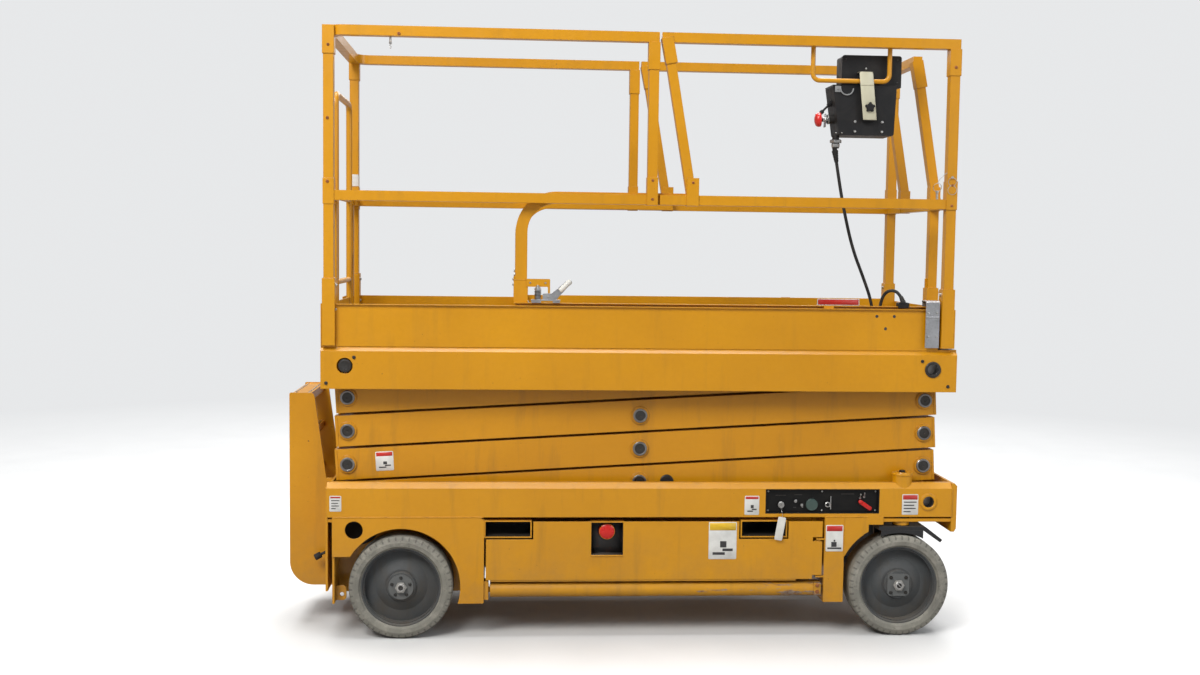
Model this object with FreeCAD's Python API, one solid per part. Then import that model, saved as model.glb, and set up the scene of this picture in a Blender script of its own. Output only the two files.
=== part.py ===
import FreeCAD, Part
import math
import os

os.makedirs("parts", exist_ok=True)
V = FreeCAD.Vector

# Frame: mm, +X to the steered front end, +Y away from the ground controls, +Z up,
# origin on the floor under the centre of the outline.

# Wheels
TYRE_R = 190.5
TYRE_W = 127.0
RIM_R = 146.0
WHEELBASE = 1860.0
REAR_AXLE_X = -820.0
FRONT_AXLE_X = REAR_AXLE_X + WHEELBASE
WIDTH_HALF = 405.0            # outer face of the tyres
WHEEL_Y = WIDTH_HALF - TYRE_W / 2.0
KINGPIN_TRAIL = 14.0
KINGPIN_OUT = 8.5
KINGPIN_X = FRONT_AXLE_X + KINGPIN_TRAIL
KINGPIN_Y = WHEEL_Y + KINGPIN_OUT
# radius that the steered tyre's corner sweeps about its kingpin
STEER_SWEEP = math.hypot(TYRE_R + KINGPIN_TRAIL, TYRE_W / 2.0 + KINGPIN_OUT)
HUB_R = 55.0
HUB_FACE = 43.0               # end of the stub axle, from the wheel's middle
NUT_R = 21.0

# Fits and clearances
PIN_R = 25.0
PIN_RUN = 0.05                # radial running clearance of a pin in its bore
BOSS_R = PIN_R + 5.0
HEAD_R = PIN_R + 7.0
HEAD_T = 7.0
SIDE_GAP = 5.0                # least clearance between moving pieces
SEAT_GAP = 0.3                # between a sliding piece and its seat
SLOT_HALF = PIN_R + 2.0       # half height of the slots of the sliding shafts

# Chassis
REAR_OVERHANG = 270.0
FRONT_OVERHANG = 215.0
CHASSIS_X = (REAR_AXLE_X - REAR_OVERHANG, FRONT_AXLE_X + FRONT_OVERHANG)
WHEEL_ROOM = 50.0             # floor plate over the tyres
FLOOR_T = 12.0
FLOOR_Z = (2.0 * TYRE_R + WHEEL_ROOM, 2.0 * TYRE_R + WHEEL_ROOM + FLOOR_T)
BEAM_H = 127.0
BEAM_Z = (FLOOR_Z[1] + 7.0, FLOOR_Z[1] + 7.0 + BEAM_H)
BEAM_BEVEL = 20.0
BEAM_WALL = 6.0
BEAM_Y = WIDTH_HALF - 15.0
BEAM_IN = BEAM_Y - 40.0
SKIRT_Y = (BEAM_Y - 6.0, BEAM_Y + 1.0)
SKIRT_LOW = 128.0
SPINE_Y = BEAM_Y - 200.0
SPINE_Z = (215.0, FLOOR_Z[1] - 6.0)
REAR_BOX_Y = WHEEL_Y - 86.5
ARCH_R = TYRE_R + 26.5
BAY_END = REAR_AXLE_X + ARCH_R + 86.0
FENDER_R = TYRE_R + 46.5
PILLAR_X1 = round(KINGPIN_X - STEER_SWEEP - 9.2, 1)
PILLAR_X = (PILLAR_X1 - 75.0, PILLAR_X1)
PANEL_X = (PILLAR_X1 - 301.0, PILLAR_X1 + 130.0)
TIE_HOLE = (REAR_AXLE_X - 171.0, BEAM_Z[0] - 47.0, 32.5)

# Scissor stack
LIFT_PIN_X = CHASSIS_X[1] - 110.0
LIFT_PIN_Z = BEAM_Z[0] + 57.0
ARM_L = 2172.0                # pin to pin
PITCH = 124.75                # height of one level when stowed
LEVELS = 4
LEVEL_GAP = 9.75
ARM_DEPTH = PITCH - LEVEL_GAP
ARM_END = 45.0                # square end beyond its pin
ARM_W = 48.0
ARM_GAP = 10.0
ARM_OUT = BEAM_IN - 44.0
OUTER_Y = (ARM_OUT - ARM_W, ARM_OUT)
INNER_Y = (OUTER_Y[0] - ARM_GAP - ARM_W, OUTER_Y[0] - ARM_GAP)
ARM_RUN = math.sqrt(ARM_L ** 2 - PITCH ** 2)
SLIDE_PIN_X = LIFT_PIN_X - ARM_RUN
MID_PIN_X = (LIFT_PIN_X + SLIDE_PIN_X) / 2.0
TOP_PIN_Z = LIFT_PIN_Z + LEVELS * PITCH
STEEPEST = math.radians(59.7)
GUIDE_END = LIFT_PIN_X - ARM_L * math.cos(STEEPEST) + PIN_R + 45.7
GUIDE_IN = ARM_OUT + HEAD_T + 7.0
CHEEK_Y = (ARM_OUT + 6.0, ARM_OUT + 16.0)
CROSS_R = 30.0
CROSS_END = 300.0             # cross tubes, from the nearer pin
TRUNNION = 372.0              # lift cylinder's tube, from the base pin
CYL_A = ARM_L - TRUNNION
CYL_B = 500.0
BARREL_R = 45.0
BARREL_EYE = 50.0
ROD_R = 25.0
ROD_EYE = 34.0
ROD_PIN_R = 18.0
ROD_SHOWN = 154.0             # least length of rod between gland and its eye
LUG_Y = (50.0, 62.0)

# Trays, fork pockets, ground guards
TRAY_X = (BAY_END + 7.0, PILLAR_X[0] - 8.0)
TRAY_Z = (220.0, BEAM_Z[0] - 16.0)
TRAY_Y = (SPINE_Y + 15.0, SKIRT_Y[1])
TRAY_HINGE = (TRAY_X[1] - 12.0, TRAY_Y[1] - 9.0)
POCKET_C = (TRAY_X[0] + 80.5, TRAY_X[1] - 222.0)
POCKET_W = 165.0
POCKET_Z = (BEAM_Z[0] - 72.0, BEAM_Z[0] - 17.0)
POCKET_WALL = 5.0
GUARD_X = (TRAY_X[0] + 16.0, TRAY_X[1])
GUARD_AXIS = (BEAM_Y - 28.0, 174.0)
GUARD_R = 28.0
GUARD_LEAF = 135.0
GUARD_PIN = 10.0

# Platform
DECK_BEAM_Z = (TOP_PIN_Z - 84.0, TOP_PIN_Z + 66.0)
DECK_BEAM_Y = BEAM_Y + 4.0
DECK_X = (SLIDE_PIN_X - 86.6, LIFT_PIN_X + 91.0)
DECK_TOP = DECK_BEAM_Z[1] + 8.0
DECK_BEVEL = 12.0
TOE_TOP = DECK_TOP + 150.0
TOE_Y = (DECK_BEAM_Y - 14.0, DECK_BEAM_Y - 10.0)
FIXED_TOE_END = LIFT_PIN_X + 20.0
RAIL_Y = DECK_BEAM_Y - 14.0
TUBE = 36.0
SLEEVE = 46.0
MID_RAIL_Z = (DECK_TOP + 522.0, DECK_TOP + 522.0 + TUBE)
TOP_Z = 2222.0
CORNER_R = 60.0               # plan bend of the top rail at the rear corners
REAR_POST_X = DECK_X[0] + 30.0
FRONT_POST_X = DECK_X[1] - 42.0
RAIL_SEAM_X = LIFT_PIN_X - 1040.0
GATE_HALF = 220.0
GATE_RISE = 362.0 / 584.0     # how far up from the mid rails to the top rail
GATE_HINGE_Y = GATE_HALF + 8.0
GATE_PIN = 4.0
GATE_POST_Y = GATE_HINGE_Y + 24.0
MID_C = MID_RAIL_Z[0] + TUBE / 2.0
TOP_C = TOP_Z - TUBE / 2.0
UP_POST_X = RAIL_SEAM_X - 21.0
LEAN_TOP_X = RAIL_SEAM_X + 25.0
LEAN_LOW_X = RAIL_SEAM_X + 127.0

# Sliding deck
EXT_X = (LIFT_PIN_X - 1557.0, DECK_X[1] - 19.0)
EXT_DECK_Z = (DECK_TOP + 6.0, DECK_TOP + 12.0)
EXT_TOE_TOP = TOE_TOP + 10.0
EXT_Y = RAIL_Y - 21.0         # outside of the sliding toe boards
EXT_LIP = 10.0
EXT_POST_X = EXT_X[0] + 22.0
EXT_RAIL_Y = (RAIL_Y - 55.0, RAIL_Y - 25.0)
EXT_RAIL_Z = (MID_RAIL_Z[0] + 1.0, MID_RAIL_Z[1] + 8.0)
EXT_BEND = 105.0              # inside bend of the tall tube
HOOP_Y = 190.0
HOOP_LEAN = 94.0
BOX_X = FRONT_POST_X - 202.0  # front face of the control box
BOX_TOP = TOP_Z - 56.0
HANG_Z = TOP_Z - 154.0
HANG_BEND = 25.0
LADDER_X = CHASSIS_X[0] - 165.0
LADDER_Z = (149.0, DECK_BEAM_Z[0] - 38.0)
LADDER_Y = (183.0, 191.0)
LADDER_STEP = 167.0

BOX_Y = -RAIL_Y + 90.0        # middle of the control box

# Control cable: middle line as (x, y, z) points, from the gland to the plug
CABLE_R = 6.0
CABLE = ((781.0, -290.0, 1806.0), (800.0, -284.0, 1700.0), (827.0, -270.0, 1585.0),
         (866.0, -252.0, 1451.0), (919.0, -232.0, 1336.0), (955.0, -215.0, 1251.0),
         (962.0, -214.0, 1186.0), (963.0, -257.0, 1161.0), (962.0, -300.0, 1186.0),
         (965.0, -300.0, 1244.5), (976.2, -310.0, 1286.0), (999.0, -331.0, 1300.5),
         (1022.4, -352.3, 1288.8), (1033.0, -362.0, 1258.5))


def box(x0, x1, y0, y1, z0, z1):
    return Part.makeBox(x1 - x0, y1 - y0, z1 - z0, V(x0, y0, z0))


def cyl_y(x, z, r, y0, y1):
    return Part.makeCylinder(r, y1 - y0, V(x, y0, z), V(0, 1, 0))


def cyl_x(y, z, r, x0, x1):
    return Part.makeCylinder(r, x1 - x0, V(x0, y, z), V(1, 0, 0))


def cyl_z(x, y, r, z0, z1):
    return Part.makeCylinder(r, z1 - z0, V(x, y, z0), V(0, 0, 1))


def rod(a, b, r):
    d = V(*b) - V(*a)
    return Part.makeCylinder(r, d.Length, V(*a), d)


def filleted(points, closed=True):
    """Wire through (point, corner radius) pairs, each corner a tangent arc."""
    n = len(points)
    ends = []
    for i, (p, r) in enumerate(points):
        if r <= 0 or (not closed and i in (0, n - 1)):
            ends.append((p, None, p))
            continue
        a = points[i - 1][0] - p
        b = points[(i + 1) % n][0] - p
        a.normalize()
        b.normalize()
        half = a.getAngle(b) / 2.0
        back = r / math.tan(half)
        m = a + b
        m.normalize()
        ends.append((p + a * back, p + m * (r / math.sin(half) - r), p + b * back))
    edges = []
    for i in range(n):
        a, m, b = ends[i]
        if m is not None:
            edges.append(Part.Arc(a, m, b).toShape())
        if closed or i < n - 1:
            c = ends[(i + 1) % n][0]
            if (c - b).Length > 1e-6:
                edges.append(Part.makeLine(b, c))
    return Part.Wire(edges)


def plate_xz(points, y0, y1):
    """Plate from (x, z, corner radius) points, pushed from y0 to y1."""
    wire = filleted([(V(x, y0, z), r) for x, z, r in points])
    return Part.Face(wire).extrude(V(0, y1 - y0, 0))


def plate_xy(points, z0, z1):
    """Plate from (x, y, corner radius) points, pushed from z0 to z1."""
    wire = filleted([(V(x, y, z0), r) for x, y, r in points])
    return Part.Face(wire).extrude(V(0, 0, z1 - z0))


def prism_xz(points, y0, y1):
    return plate_xz([(x, z, 0) for x, z in points], y0, y1)


def prism_yz(points, x0, x1):
    wire = Part.makePolygon([V(x0, y, z) for y, z in points + points[:1]])
    return Part.Face(wire).extrude(V(x1 - x0, 0, 0))


def piped(points, bends, r):
    """Round bar of radius r along points, with a bend radius for each point."""
    spine = filleted([(V(*p), b) for p, b in zip(points, bends)], closed=False)
    heading = V(*points[1]) - V(*points[0])
    ring = Part.Wire([Part.makeCircle(r, V(*points[0]), heading)])
    return spine.makePipeShell([ring], True, False)


def mirrored(shape):
    return shape.mirror(V(0, 0, 0), V(0, 1, 0))


def fused(shapes):
    out = shapes[0]
    if len(shapes) > 1:
        out = out.fuse(shapes[1:])
    return out.removeSplitter()


def both(shapes):
    """The pieces of the +Y side with their mirror images on the -Y side."""
    one = fused(shapes)
    return fused([one, mirrored(one)])


def save(name, shape):
    shape.exportStep("parts/%s.step" % name)
    ok = all(s.isValid() for s in shape.Solids)
    print("%-20s solids %d %s %s" % (name, len(shape.Solids), "" if ok else "INVALID",
                                     shape.BoundBox))


def slanted(x0, z0, x1, z1, depth, y0, y1):
    """A bar between two (x, z) points, its depth square to its length."""
    dx, dz = x1 - x0, z1 - z0
    n = math.hypot(dx, dz)
    ox, oz = -dz / n * depth / 2.0, dx / n * depth / 2.0
    return prism_xz([(x0 + ox, z0 + oz), (x1 + ox, z1 + oz),
                     (x1 - ox, z1 - oz), (x0 - ox, z0 - oz)], y0, y1)


def channel(x0, x1, y1, z0, z1, bevel, wall, flange):
    """Side beam of the +Y side, open inwards, its upper outer edge bevelled."""
    yi = y1 - flange
    return prism_yz([(yi, z1), (y1 - bevel, z1), (y1, z1 - bevel), (y1, z0), (yi, z0),
                     (yi, z0 + 8), (y1 - wall, z0 + 8), (y1 - wall, z1 - bevel - 3),
                     (y1 - bevel - 3, z1 - 8), (yi, z1 - 8)], x0, x1)


def slide_guides(x0, x1, y_out, zc):
    """Rails above and below a sliding shaft at height zc, with a stop at the rear."""
    return [box(x0, x1, GUIDE_IN, y_out, zc - SLOT_HALF - 8, zc - SLOT_HALF),
            box(x0, x1, GUIDE_IN, y_out, zc + SLOT_HALF, zc + SLOT_HALF + 8),
            box(x0, x0 + 8, GUIDE_IN, y_out, zc - SLOT_HALF, zc + SLOT_HALF)]


# Chassis
def fender():
    """Cheek plate of the +Y side over the steered wheel, cut round its arch."""
    top = BEAM_Z[0] + 4
    low = SKIRT_LOW + 172
    knuckle_end = KINGPIN_X - 134
    plate = prism_xz([(PILLAR_X[0], low), (knuckle_end, low), (knuckle_end, top),
                      (PILLAR_X[0], top)], *SKIRT_Y)
    plate = plate.cut(cyl_y(FRONT_AXLE_X, TYRE_R, FENDER_R, SKIRT_Y[0] - 5, SKIRT_Y[1] + 5))
    return plate.fuse(box(knuckle_end, knuckle_end + 56, *SKIRT_Y, BEAM_Z[0] - 29, top))


def pocket_sleeves():
    """Mouths of the lifting pockets, from the spine out to the skirt's plane."""
    out = []
    for c in POCKET_C:
        w = POCKET_W / 2 + POCKET_WALL
        out.append(box(c - w, c + w, SPINE_Y - 5, SKIRT_Y[1] - 2,
                       POCKET_Z[0] - POCKET_WALL, POCKET_Z[1] + POCKET_WALL))
    return out


def chassis_frame():
    x0, x1 = CHASSIS_X
    z0, z1 = BEAM_Z
    y1 = BEAM_Y
    beam = channel(x0, x1 - 20, y1, z0, z1, BEAM_BEVEL, BEAM_WALL, BEAM_Y - BEAM_IN)
    guides = slide_guides(x0 + 15, GUIDE_END, y1 - 4, LIFT_PIN_Z)
    pillar = box(*PILLAR_X, SKIRT_Y[0] - 84, SKIRT_Y[1], SKIRT_LOW - 1, z0 + 4)
    pillar_in = box(PILLAR_X[0], PILLAR_X[0] + 12, SPINE_Y - 10, SKIRT_Y[0] - 74, 140,
                    SPINE_Z[1])
    rear_well = x0 + 20
    well = [box(rear_well, rear_well + 8, REAR_BOX_Y - 5, SKIRT_Y[0], SKIRT_LOW, SPINE_Z[1]),
            box(BAY_END - 8, BAY_END, SPINE_Y - 10, SKIRT_Y[0], SKIRT_LOW, SPINE_Z[1])]
    eye = plate_xz([(rear_well + 4, SKIRT_LOW + 3, 0), (rear_well + 46, SKIRT_LOW + 3, 12),
                    (rear_well + 46, SKIRT_LOW + 58, 12), (rear_well + 4, SKIRT_LOW + 58, 0)],
                   SKIRT_Y[0] - 49, SKIRT_Y[0] - 41)
    eye = eye.cut(cyl_y(rear_well + 30, SKIRT_LOW + 25, 8, SKIRT_Y[0] - 54, SKIRT_Y[0] - 34))
    housing = cyl_z(KINGPIN_X, KINGPIN_Y, PIN_R + 12, z0, z1 + 33)
    cheek = prism_xz([(LIFT_PIN_X - 60, FLOOR_Z[1]), (LIFT_PIN_X + 80, FLOOR_Z[1]),
                      (LIFT_PIN_X + 80, z1 - 17), (LIFT_PIN_X - 35, z1 - 17)], *CHEEK_Y)
    lug = box(BAY_END, BAY_END + 17, SKIRT_Y[0] - 46, SKIRT_Y[0], 140, 210)
    hinge_x, hinge_y = TRAY_HINGE
    latch_lug = [box(hinge_x - 11, PILLAR_X[0] + 1, hinge_y - 10, hinge_y + 8, z, z + 6)
                 for z in (221, 363)]
    web = fused([beam, pillar, pillar_in, cheek, lug, eye] + guides + well + latch_lug)
    web = web.fuse([housing, fender()] + pocket_sleeves())
    web = web.cut(cyl_z(KINGPIN_X, KINGPIN_Y, PIN_R + PIN_RUN, z0 - 20, z1 + 23))
    web = web.cut(cyl_x(*GUARD_AXIS, GUARD_PIN + PIN_RUN, GUARD_X[0] - 66, GUARD_X[1] + 35))
    web = web.cut(cyl_z(hinge_x, hinge_y, 5 + PIN_RUN, 215, 375))
    web = fused([web, mirrored(web)])
    front = box(PILLAR_X[1], x1 - 18, 4 - y1, y1 - 4, *FLOOR_Z)
    for s in (-1, 1):
        front = front.cut(cyl_z(KINGPIN_X, s * KINGPIN_Y, PIN_R + 9, 420, 450))
    back = box(x0, BAY_END, 6 - y1, y1 - 6, *FLOOR_Z)
    spine = box(BAY_END - 8, PILLAR_X[1] + 2, -SPINE_Y, SPINE_Y, *SPINE_Z)
    rear_box = box(x0 + 6, BAY_END - 3, -REAR_BOX_Y, REAR_BOX_Y, 140, SPINE_Z[1])
    rear_plate = box(x0 - 4, x0 + 4, 4 - y1, y1 - 4, 176, z1 - BEAM_BEVEL)
    bumper = prism_xz([(x1 - 20, z0 - 57), (x1 - 8, z0 - 57), (x1, z0 - 45), (x1, z1 - 10),
                       (x1 - 10, z1), (x1 - 20, z1)], 2 - y1, y1 - 2)
    out = fused([web, spine, rear_box, rear_plate, bumper, front, back])
    for c in POCKET_C:
        out = out.cut(box(c - POCKET_W / 2, c + POCKET_W / 2, -y1 - 10, y1 + 10, *POCKET_Z))
    out = out.cut(box(PANEL_X[0], PANEL_X[1], -y1 - 10, 12 - y1, LIFT_PIN_Z - 44,
                      LIFT_PIN_Z + 48))
    return out.cut(cyl_y(LIFT_PIN_X, LIFT_PIN_Z, BOSS_R, -y1 - 10, y1 + 10))


def fixed_pin(z, y_out, bore, depth):
    """Shaft right across at the fixed end, its bored ends in round bosses."""
    s = fused([cyl_y(LIFT_PIN_X, z, PIN_R, -y_out, y_out),
               cyl_y(LIFT_PIN_X, z, BOSS_R, CHEEK_Y[0], y_out),
               cyl_y(LIFT_PIN_X, z, BOSS_R, -y_out, -CHEEK_Y[0])])
    for s0, s1 in ((-y_out - 1, -y_out + depth), (y_out - depth, y_out + 1)):
        s = s.cut(cyl_y(LIFT_PIN_X, z, bore, s0, s1))
    return s


def rear_skirts():
    x0, x1 = CHASSIS_X[0] + 20, BAY_END
    top = BEAM_Z[0]
    p = plate_xz([(x0, 304, 0), (x0 + 90, 304, 0), (x0 + 120, SKIRT_LOW, 0),
                  (x1, SKIRT_LOW, 6), (x1, top, 22), (x0, top, 0)], *SKIRT_Y)
    p = p.cut(cyl_y(REAR_AXLE_X, TYRE_R, ARCH_R, SKIRT_Y[0] - 5, SKIRT_Y[1] + 9))
    p = p.cut(box(x0 + 40, REAR_AXLE_X, SKIRT_Y[0] - 5, SKIRT_Y[1] + 9, 100, 303.9))
    x, z, r = TIE_HOLE
    return both([p.cut(cyl_y(x, z, r, SKIRT_Y[0] - 5, SKIRT_Y[1] + 9))])


def ladder():
    x, (zb, zt) = LADDER_X, LADDER_Z
    back = CHASSIS_X[0] - 4
    plate = plate_xz([(x, zb, 90), (x, zt, 6), (x + 92, zt, 20), (x + 137, BEAM_Z[1] - 17, 0),
                      (back, BEAM_Z[1] - 17, 0), (back, zb, 0)], *LADDER_Y)
    out = [plate, mirrored(plate)]
    count = int((zt - 18 - (zb + 66)) // LADDER_STEP)
    for z in [zb + 66 + k * LADDER_STEP for k in range(count + 1)] + [zt - 18]:
        step = box(x + 8, x + 78, 2 - LADDER_Y[1], LADDER_Y[1] - 2, z - 14, z + 14)
        out.append(step.cut(box(x + 12, x + 74, -LADDER_Y[0], LADDER_Y[0], z - 15, z + 10)))
    return fused(out)


def rear_lever():
    """Black lever with a thick grip on the rear plate, beside the ladder."""
    x, y, z = CHASSIS_X[0] - 4, -230, 296
    return fused([rod((x - 3, y, z - 1), (x - 46, y, z - 24), 5),
                  rod((x - 40, y, z - 21), (x - 60, y, z - 32), 12),
                  cyl_x(y, z, 11, x - 6, x)])


def ground_controls():
    y, z = BEAM_Y, LIFT_PIN_Z
    x0, x1 = PANEL_X
    back = box(x0 - 5, x1 + 5, 13 - y, 19 - y, z - 48, z + 52)
    ring = box(x0, x1, 1 - y, 13 - y, z - 44, z + 48)
    ring = ring.cut(box(x0 + 4, x1 - 4, -y, 14 - y, z - 40, z + 44))
    # (x, z, radius, proud of the panel) of the key barrel, buttons and switches
    knobs = ((x0 + 59, z - 11, 11, 11), (x0 + 176, z - 11, 22, 9), (x0 + 113, z + 3, 5, 10),
             (x0 + 137, z - 12, 5, 10), (x0 + 235, z - 10, 7, 12))
    parts = [back, ring] + [cyl_y(a, b, r, 13 - y - h, 14 - y) for a, b, r, h in knobs]
    parts.append(slanted(x0 + 356, z + 2, x0 + 401, z - 28, 13, 4 - y, 14 - y))
    parts.append(box(x0 + 246, x0 + 250, 8 - y, 14 - y, z - 30, z + 14))
    return fused(parts)


def rear_drive():
    """The two drive motors behind the rear hubs."""
    return both([cyl_y(REAR_AXLE_X, TYRE_R, 95, WHEEL_Y - 86.5, WHEEL_Y - 69.5),
                 cyl_y(REAR_AXLE_X, TYRE_R, BOSS_R, WHEEL_Y - 71.5, WHEEL_Y - 1.5)])


# Wheels
def revolved(section):
    wire = Part.makePolygon([V(0, y, z) for y, z in section + section[:1]])
    return Part.Face(wire).revolve(V(0, 0, 0), V(0, 1, 0), 360)


def tyre():
    """Ring about the axle, centred on y = 0, the rim inside it."""
    w, r = TYRE_W / 2.0, TYRE_R
    return revolved([(-w + 12, RIM_R), (-w + 2, RIM_R + 8), (-w, r - 22), (-w + 5, r - 6),
                     (-w + 14, r - 1), (0, r), (w - 14, r - 1), (w - 5, r - 6), (w, r - 22),
                     (w - 2, RIM_R + 8), (w - 12, RIM_R)])


def rim(bore, driven):
    """Dished disc for a wheel on the +Y side: its face looks along +Y."""
    w, f = TYRE_W / 2.0, HUB_FACE
    band = [(-w + 14, RIM_R), (-w + 14, RIM_R - 9), (w - 20, RIM_R - 9), (w - 12, RIM_R - 4),
            (w - 12, RIM_R)]
    web = [(-6, RIM_R - 8), (6, RIM_R - 8), (12, 95), (30, HUB_R + 7), (30, bore),
           (-30, bore), (-30, HUB_R + 5), (-2, 90)]
    hub = [(20, bore), (f, bore), (f, HUB_R - 4), (f - 4, HUB_R), (20, HUB_R)]
    out = [revolved(band), revolved(web), revolved(hub)]
    if driven:
        out.append(cyl_y(0, 0, HUB_R - 9, f - 1, f + 5))
    else:
        q = HUB_R - 13
        out.append(plate_xz([(-q, -q, 15), (q, -q, 15), (q, q, 15), (-q, q, 15)],
                            f - 1, f + 6))
    nut = [(NUT_R * math.cos(a * math.pi / 3), NUT_R * math.sin(a * math.pi / 3))
           for a in range(6)]
    out.append(prism_xz(nut, f + 1, f + 17))
    return fused(out)


def placed(shape, x, y, z):
    s = shape.copy()
    s.translate(V(x, y, z))
    return s


def knuckle():
    """Steered yoke on the +Y side: kingpin, plate over the wheel, leg, stub axle."""
    x, y = KINGPIN_X, KINGPIN_Y
    z = FLOOR_Z[0]
    pin = cyl_z(x, y, PIN_R, z - 26, BEAM_Z[1] + 21)
    collar = cyl_z(x, y, PIN_R + 4, z - 26, z + 14)
    top = plate_xz([(x - 94, z - 32, 0), (x + 76, z - 32, 20), (x + 142, z - 79, 0),
                    (x + 150, z - 69, 0), (x + 83, z - 18, 24), (x - 94, z - 18, 0)],
                   y - 88, y + 38)
    leg = plate_xz([(x - 79, z - 18, 0), (x + 56, z - 18, 0),
                    (FRONT_AXLE_X + 48, TYRE_R - 52, 40), (FRONT_AXLE_X - 48, TYRE_R - 52, 40)],
                   y - 104, y - 86)
    stub = cyl_y(FRONT_AXLE_X, TYRE_R, PIN_R, WHEEL_Y - 81.5, WHEEL_Y + HUB_FACE - 1)
    flange = cyl_y(FRONT_AXLE_X, TYRE_R, 60, WHEEL_Y - 86.5, WHEEL_Y - 65.5)
    out = fused([pin, collar, top, leg, stub, flange])
    room = cyl_y(FRONT_AXLE_X, TYRE_R, TYRE_R + 8, WHEEL_Y - 64.5, WIDTH_HALF + 5)
    return out.cut(room).fuse(stub).removeSplitter()


# Scissor stack
def level_points(i):
    """(right low, left high, left low, right high, middle) of level i = 1..4."""
    zl = LIFT_PIN_Z + (i - 1) * PITCH
    zh = zl + PITCH
    return ((LIFT_PIN_X, zl), (SLIDE_PIN_X, zh), (SLIDE_PIN_X, zl), (LIFT_PIN_X, zh),
            (MID_PIN_X, (zl + zh) / 2.0))


def arm_bar(a, b, yr, round_a, round_b):
    """Arm from pin a to pin b: an end is round in the frames and square elsewhere."""
    n = math.hypot(b[0] - a[0], b[1] - a[1])
    ux, uz = (b[0] - a[0]) / n, (b[1] - a[1]) / n
    ea, eb = (0 if round_a else ARM_END), (0 if round_b else ARM_END)
    bar = slanted(a[0] - ux * ea, a[1] - uz * ea, b[0] + ux * eb, b[1] + uz * eb,
                  ARM_DEPTH, *yr)
    ends = [cyl_y(p[0], p[1], ARM_DEPTH / 2.0, *yr)
            for p, full in ((a, round_a), (b, round_b)) if full]
    return fused([bar] + ends)


def bored(shape, points):
    for p in points:
        shape = shape.cut(cyl_y(p[0], p[1], PIN_R + PIN_RUN, -BEAM_Y - 30, BEAM_Y + 30))
    return shape


def along(a, b, dist):
    n = math.hypot(b[0] - a[0], b[1] - a[1])
    return (a[0] + (b[0] - a[0]) * dist / n, a[1] + (b[1] - a[1]) * dist / n)


def cross_tubes(level):
    """Distances of a level's cross tubes from the arm's right hand pin."""
    return (TRUNNION,) if level == 1 else (CROSS_END, ARM_L - CROSS_END + 8.0)


def inner_arms(i):
    rl, lh, ll, rh, mid = level_points(i)
    bars = arm_bar(rl, lh, INNER_Y, i == 1, i == LEVELS)
    bars = fused([bars, mirrored(bars)])
    tubes = []
    for dist in cross_tubes(i):
        p = along(rl, lh, dist)
        tubes.append(cyl_y(p[0], p[1], CROSS_R, -INNER_Y[1] + 4, INNER_Y[1] - 4))
    out = fused([bars] + tubes)
    holes = [mid, rl]
    if i < LEVELS:
        holes.append(lh)
    out = bored(out, holes)
    if i == 1:
        # trunnion lugs of the lift cylinder on the tube near the base pin
        p = along(rl, lh, TRUNNION)
        lugs = [cyl_y(p[0], p[1], BARREL_R - 1, *LUG_Y),
                cyl_y(p[0], p[1], BARREL_R - 1, -LUG_Y[1], -LUG_Y[0])]
        out = out.fuse(lugs).removeSplitter()
    if i == LEVELS:
        shaft = cyl_y(lh[0], lh[1], PIN_R, 8 - DECK_BEAM_Y, DECK_BEAM_Y - 8)
        out = fused([out, shaft])
    return out


def outer_arms(i):
    rl, lh, ll, rh, mid = level_points(i)
    bars = arm_bar(ll, rh, OUTER_Y, i == 1, i == LEVELS)
    bars = fused([bars, mirrored(bars)])
    y_out = OUTER_Y[1] + HEAD_T
    y_in = INNER_Y[0] - 4
    if i == LEVELS:
        bars = bored(bars, [rh])
    # middle stub pins, headed outside
    parts = [bars, cyl_y(*mid, PIN_R, y_in, y_out), cyl_y(*mid, PIN_R, -y_out, -y_in),
             cyl_y(*mid, HEAD_R, OUTER_Y[1] - 2, y_out),
             cyl_y(*mid, HEAD_R, -y_out, -OUTER_Y[1] + 2)]
    ends = []
    if i < LEVELS:
        ends.append(rh)
    if i > 1:
        ends.append(ll)
    for p in ends:
        parts += [cyl_y(*p, PIN_R, -y_out, y_out),
                  cyl_y(*p, HEAD_R, OUTER_Y[1] - 2, y_out),
                  cyl_y(*p, HEAD_R, -y_out, -OUTER_Y[1] + 2)]
    if i == 1:
        parts.append(cyl_y(*ll, PIN_R, 8 - BEAM_Y, BEAM_Y - 8))
    if i == 2:
        # lever plates for the rod's eye, welded to the left hand shaft
        t = along(ll, rh, CYL_B)
        mid_y = (LUG_Y[0] + LUG_Y[1]) / 2.0
        for s in (-1, 1):
            y0, y1 = s * mid_y - 6, s * mid_y + 6
            parts += [slanted(ll[0], ll[1], t[0], t[1], 64, y0, y1),
                      cyl_y(*t, ROD_EYE, y0, y1), cyl_y(*ll, ROD_EYE + 2, y0, y1)]
    return fused(parts)


def cylinder_line():
    """Both eyes of the lift cylinder and a function from distance to point."""
    rl, lh, ll, rh, mid = level_points(1)
    a = along(lh, rl, CYL_A)
    b = along(level_points(2)[2], level_points(2)[3], CYL_B)
    n = math.hypot(b[0] - a[0], b[1] - a[1])

    def at(d):
        return (a[0] + (b[0] - a[0]) * d / n, 0.0, a[1] + (b[1] - a[1]) * d / n)

    return a, b, n, at


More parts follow.
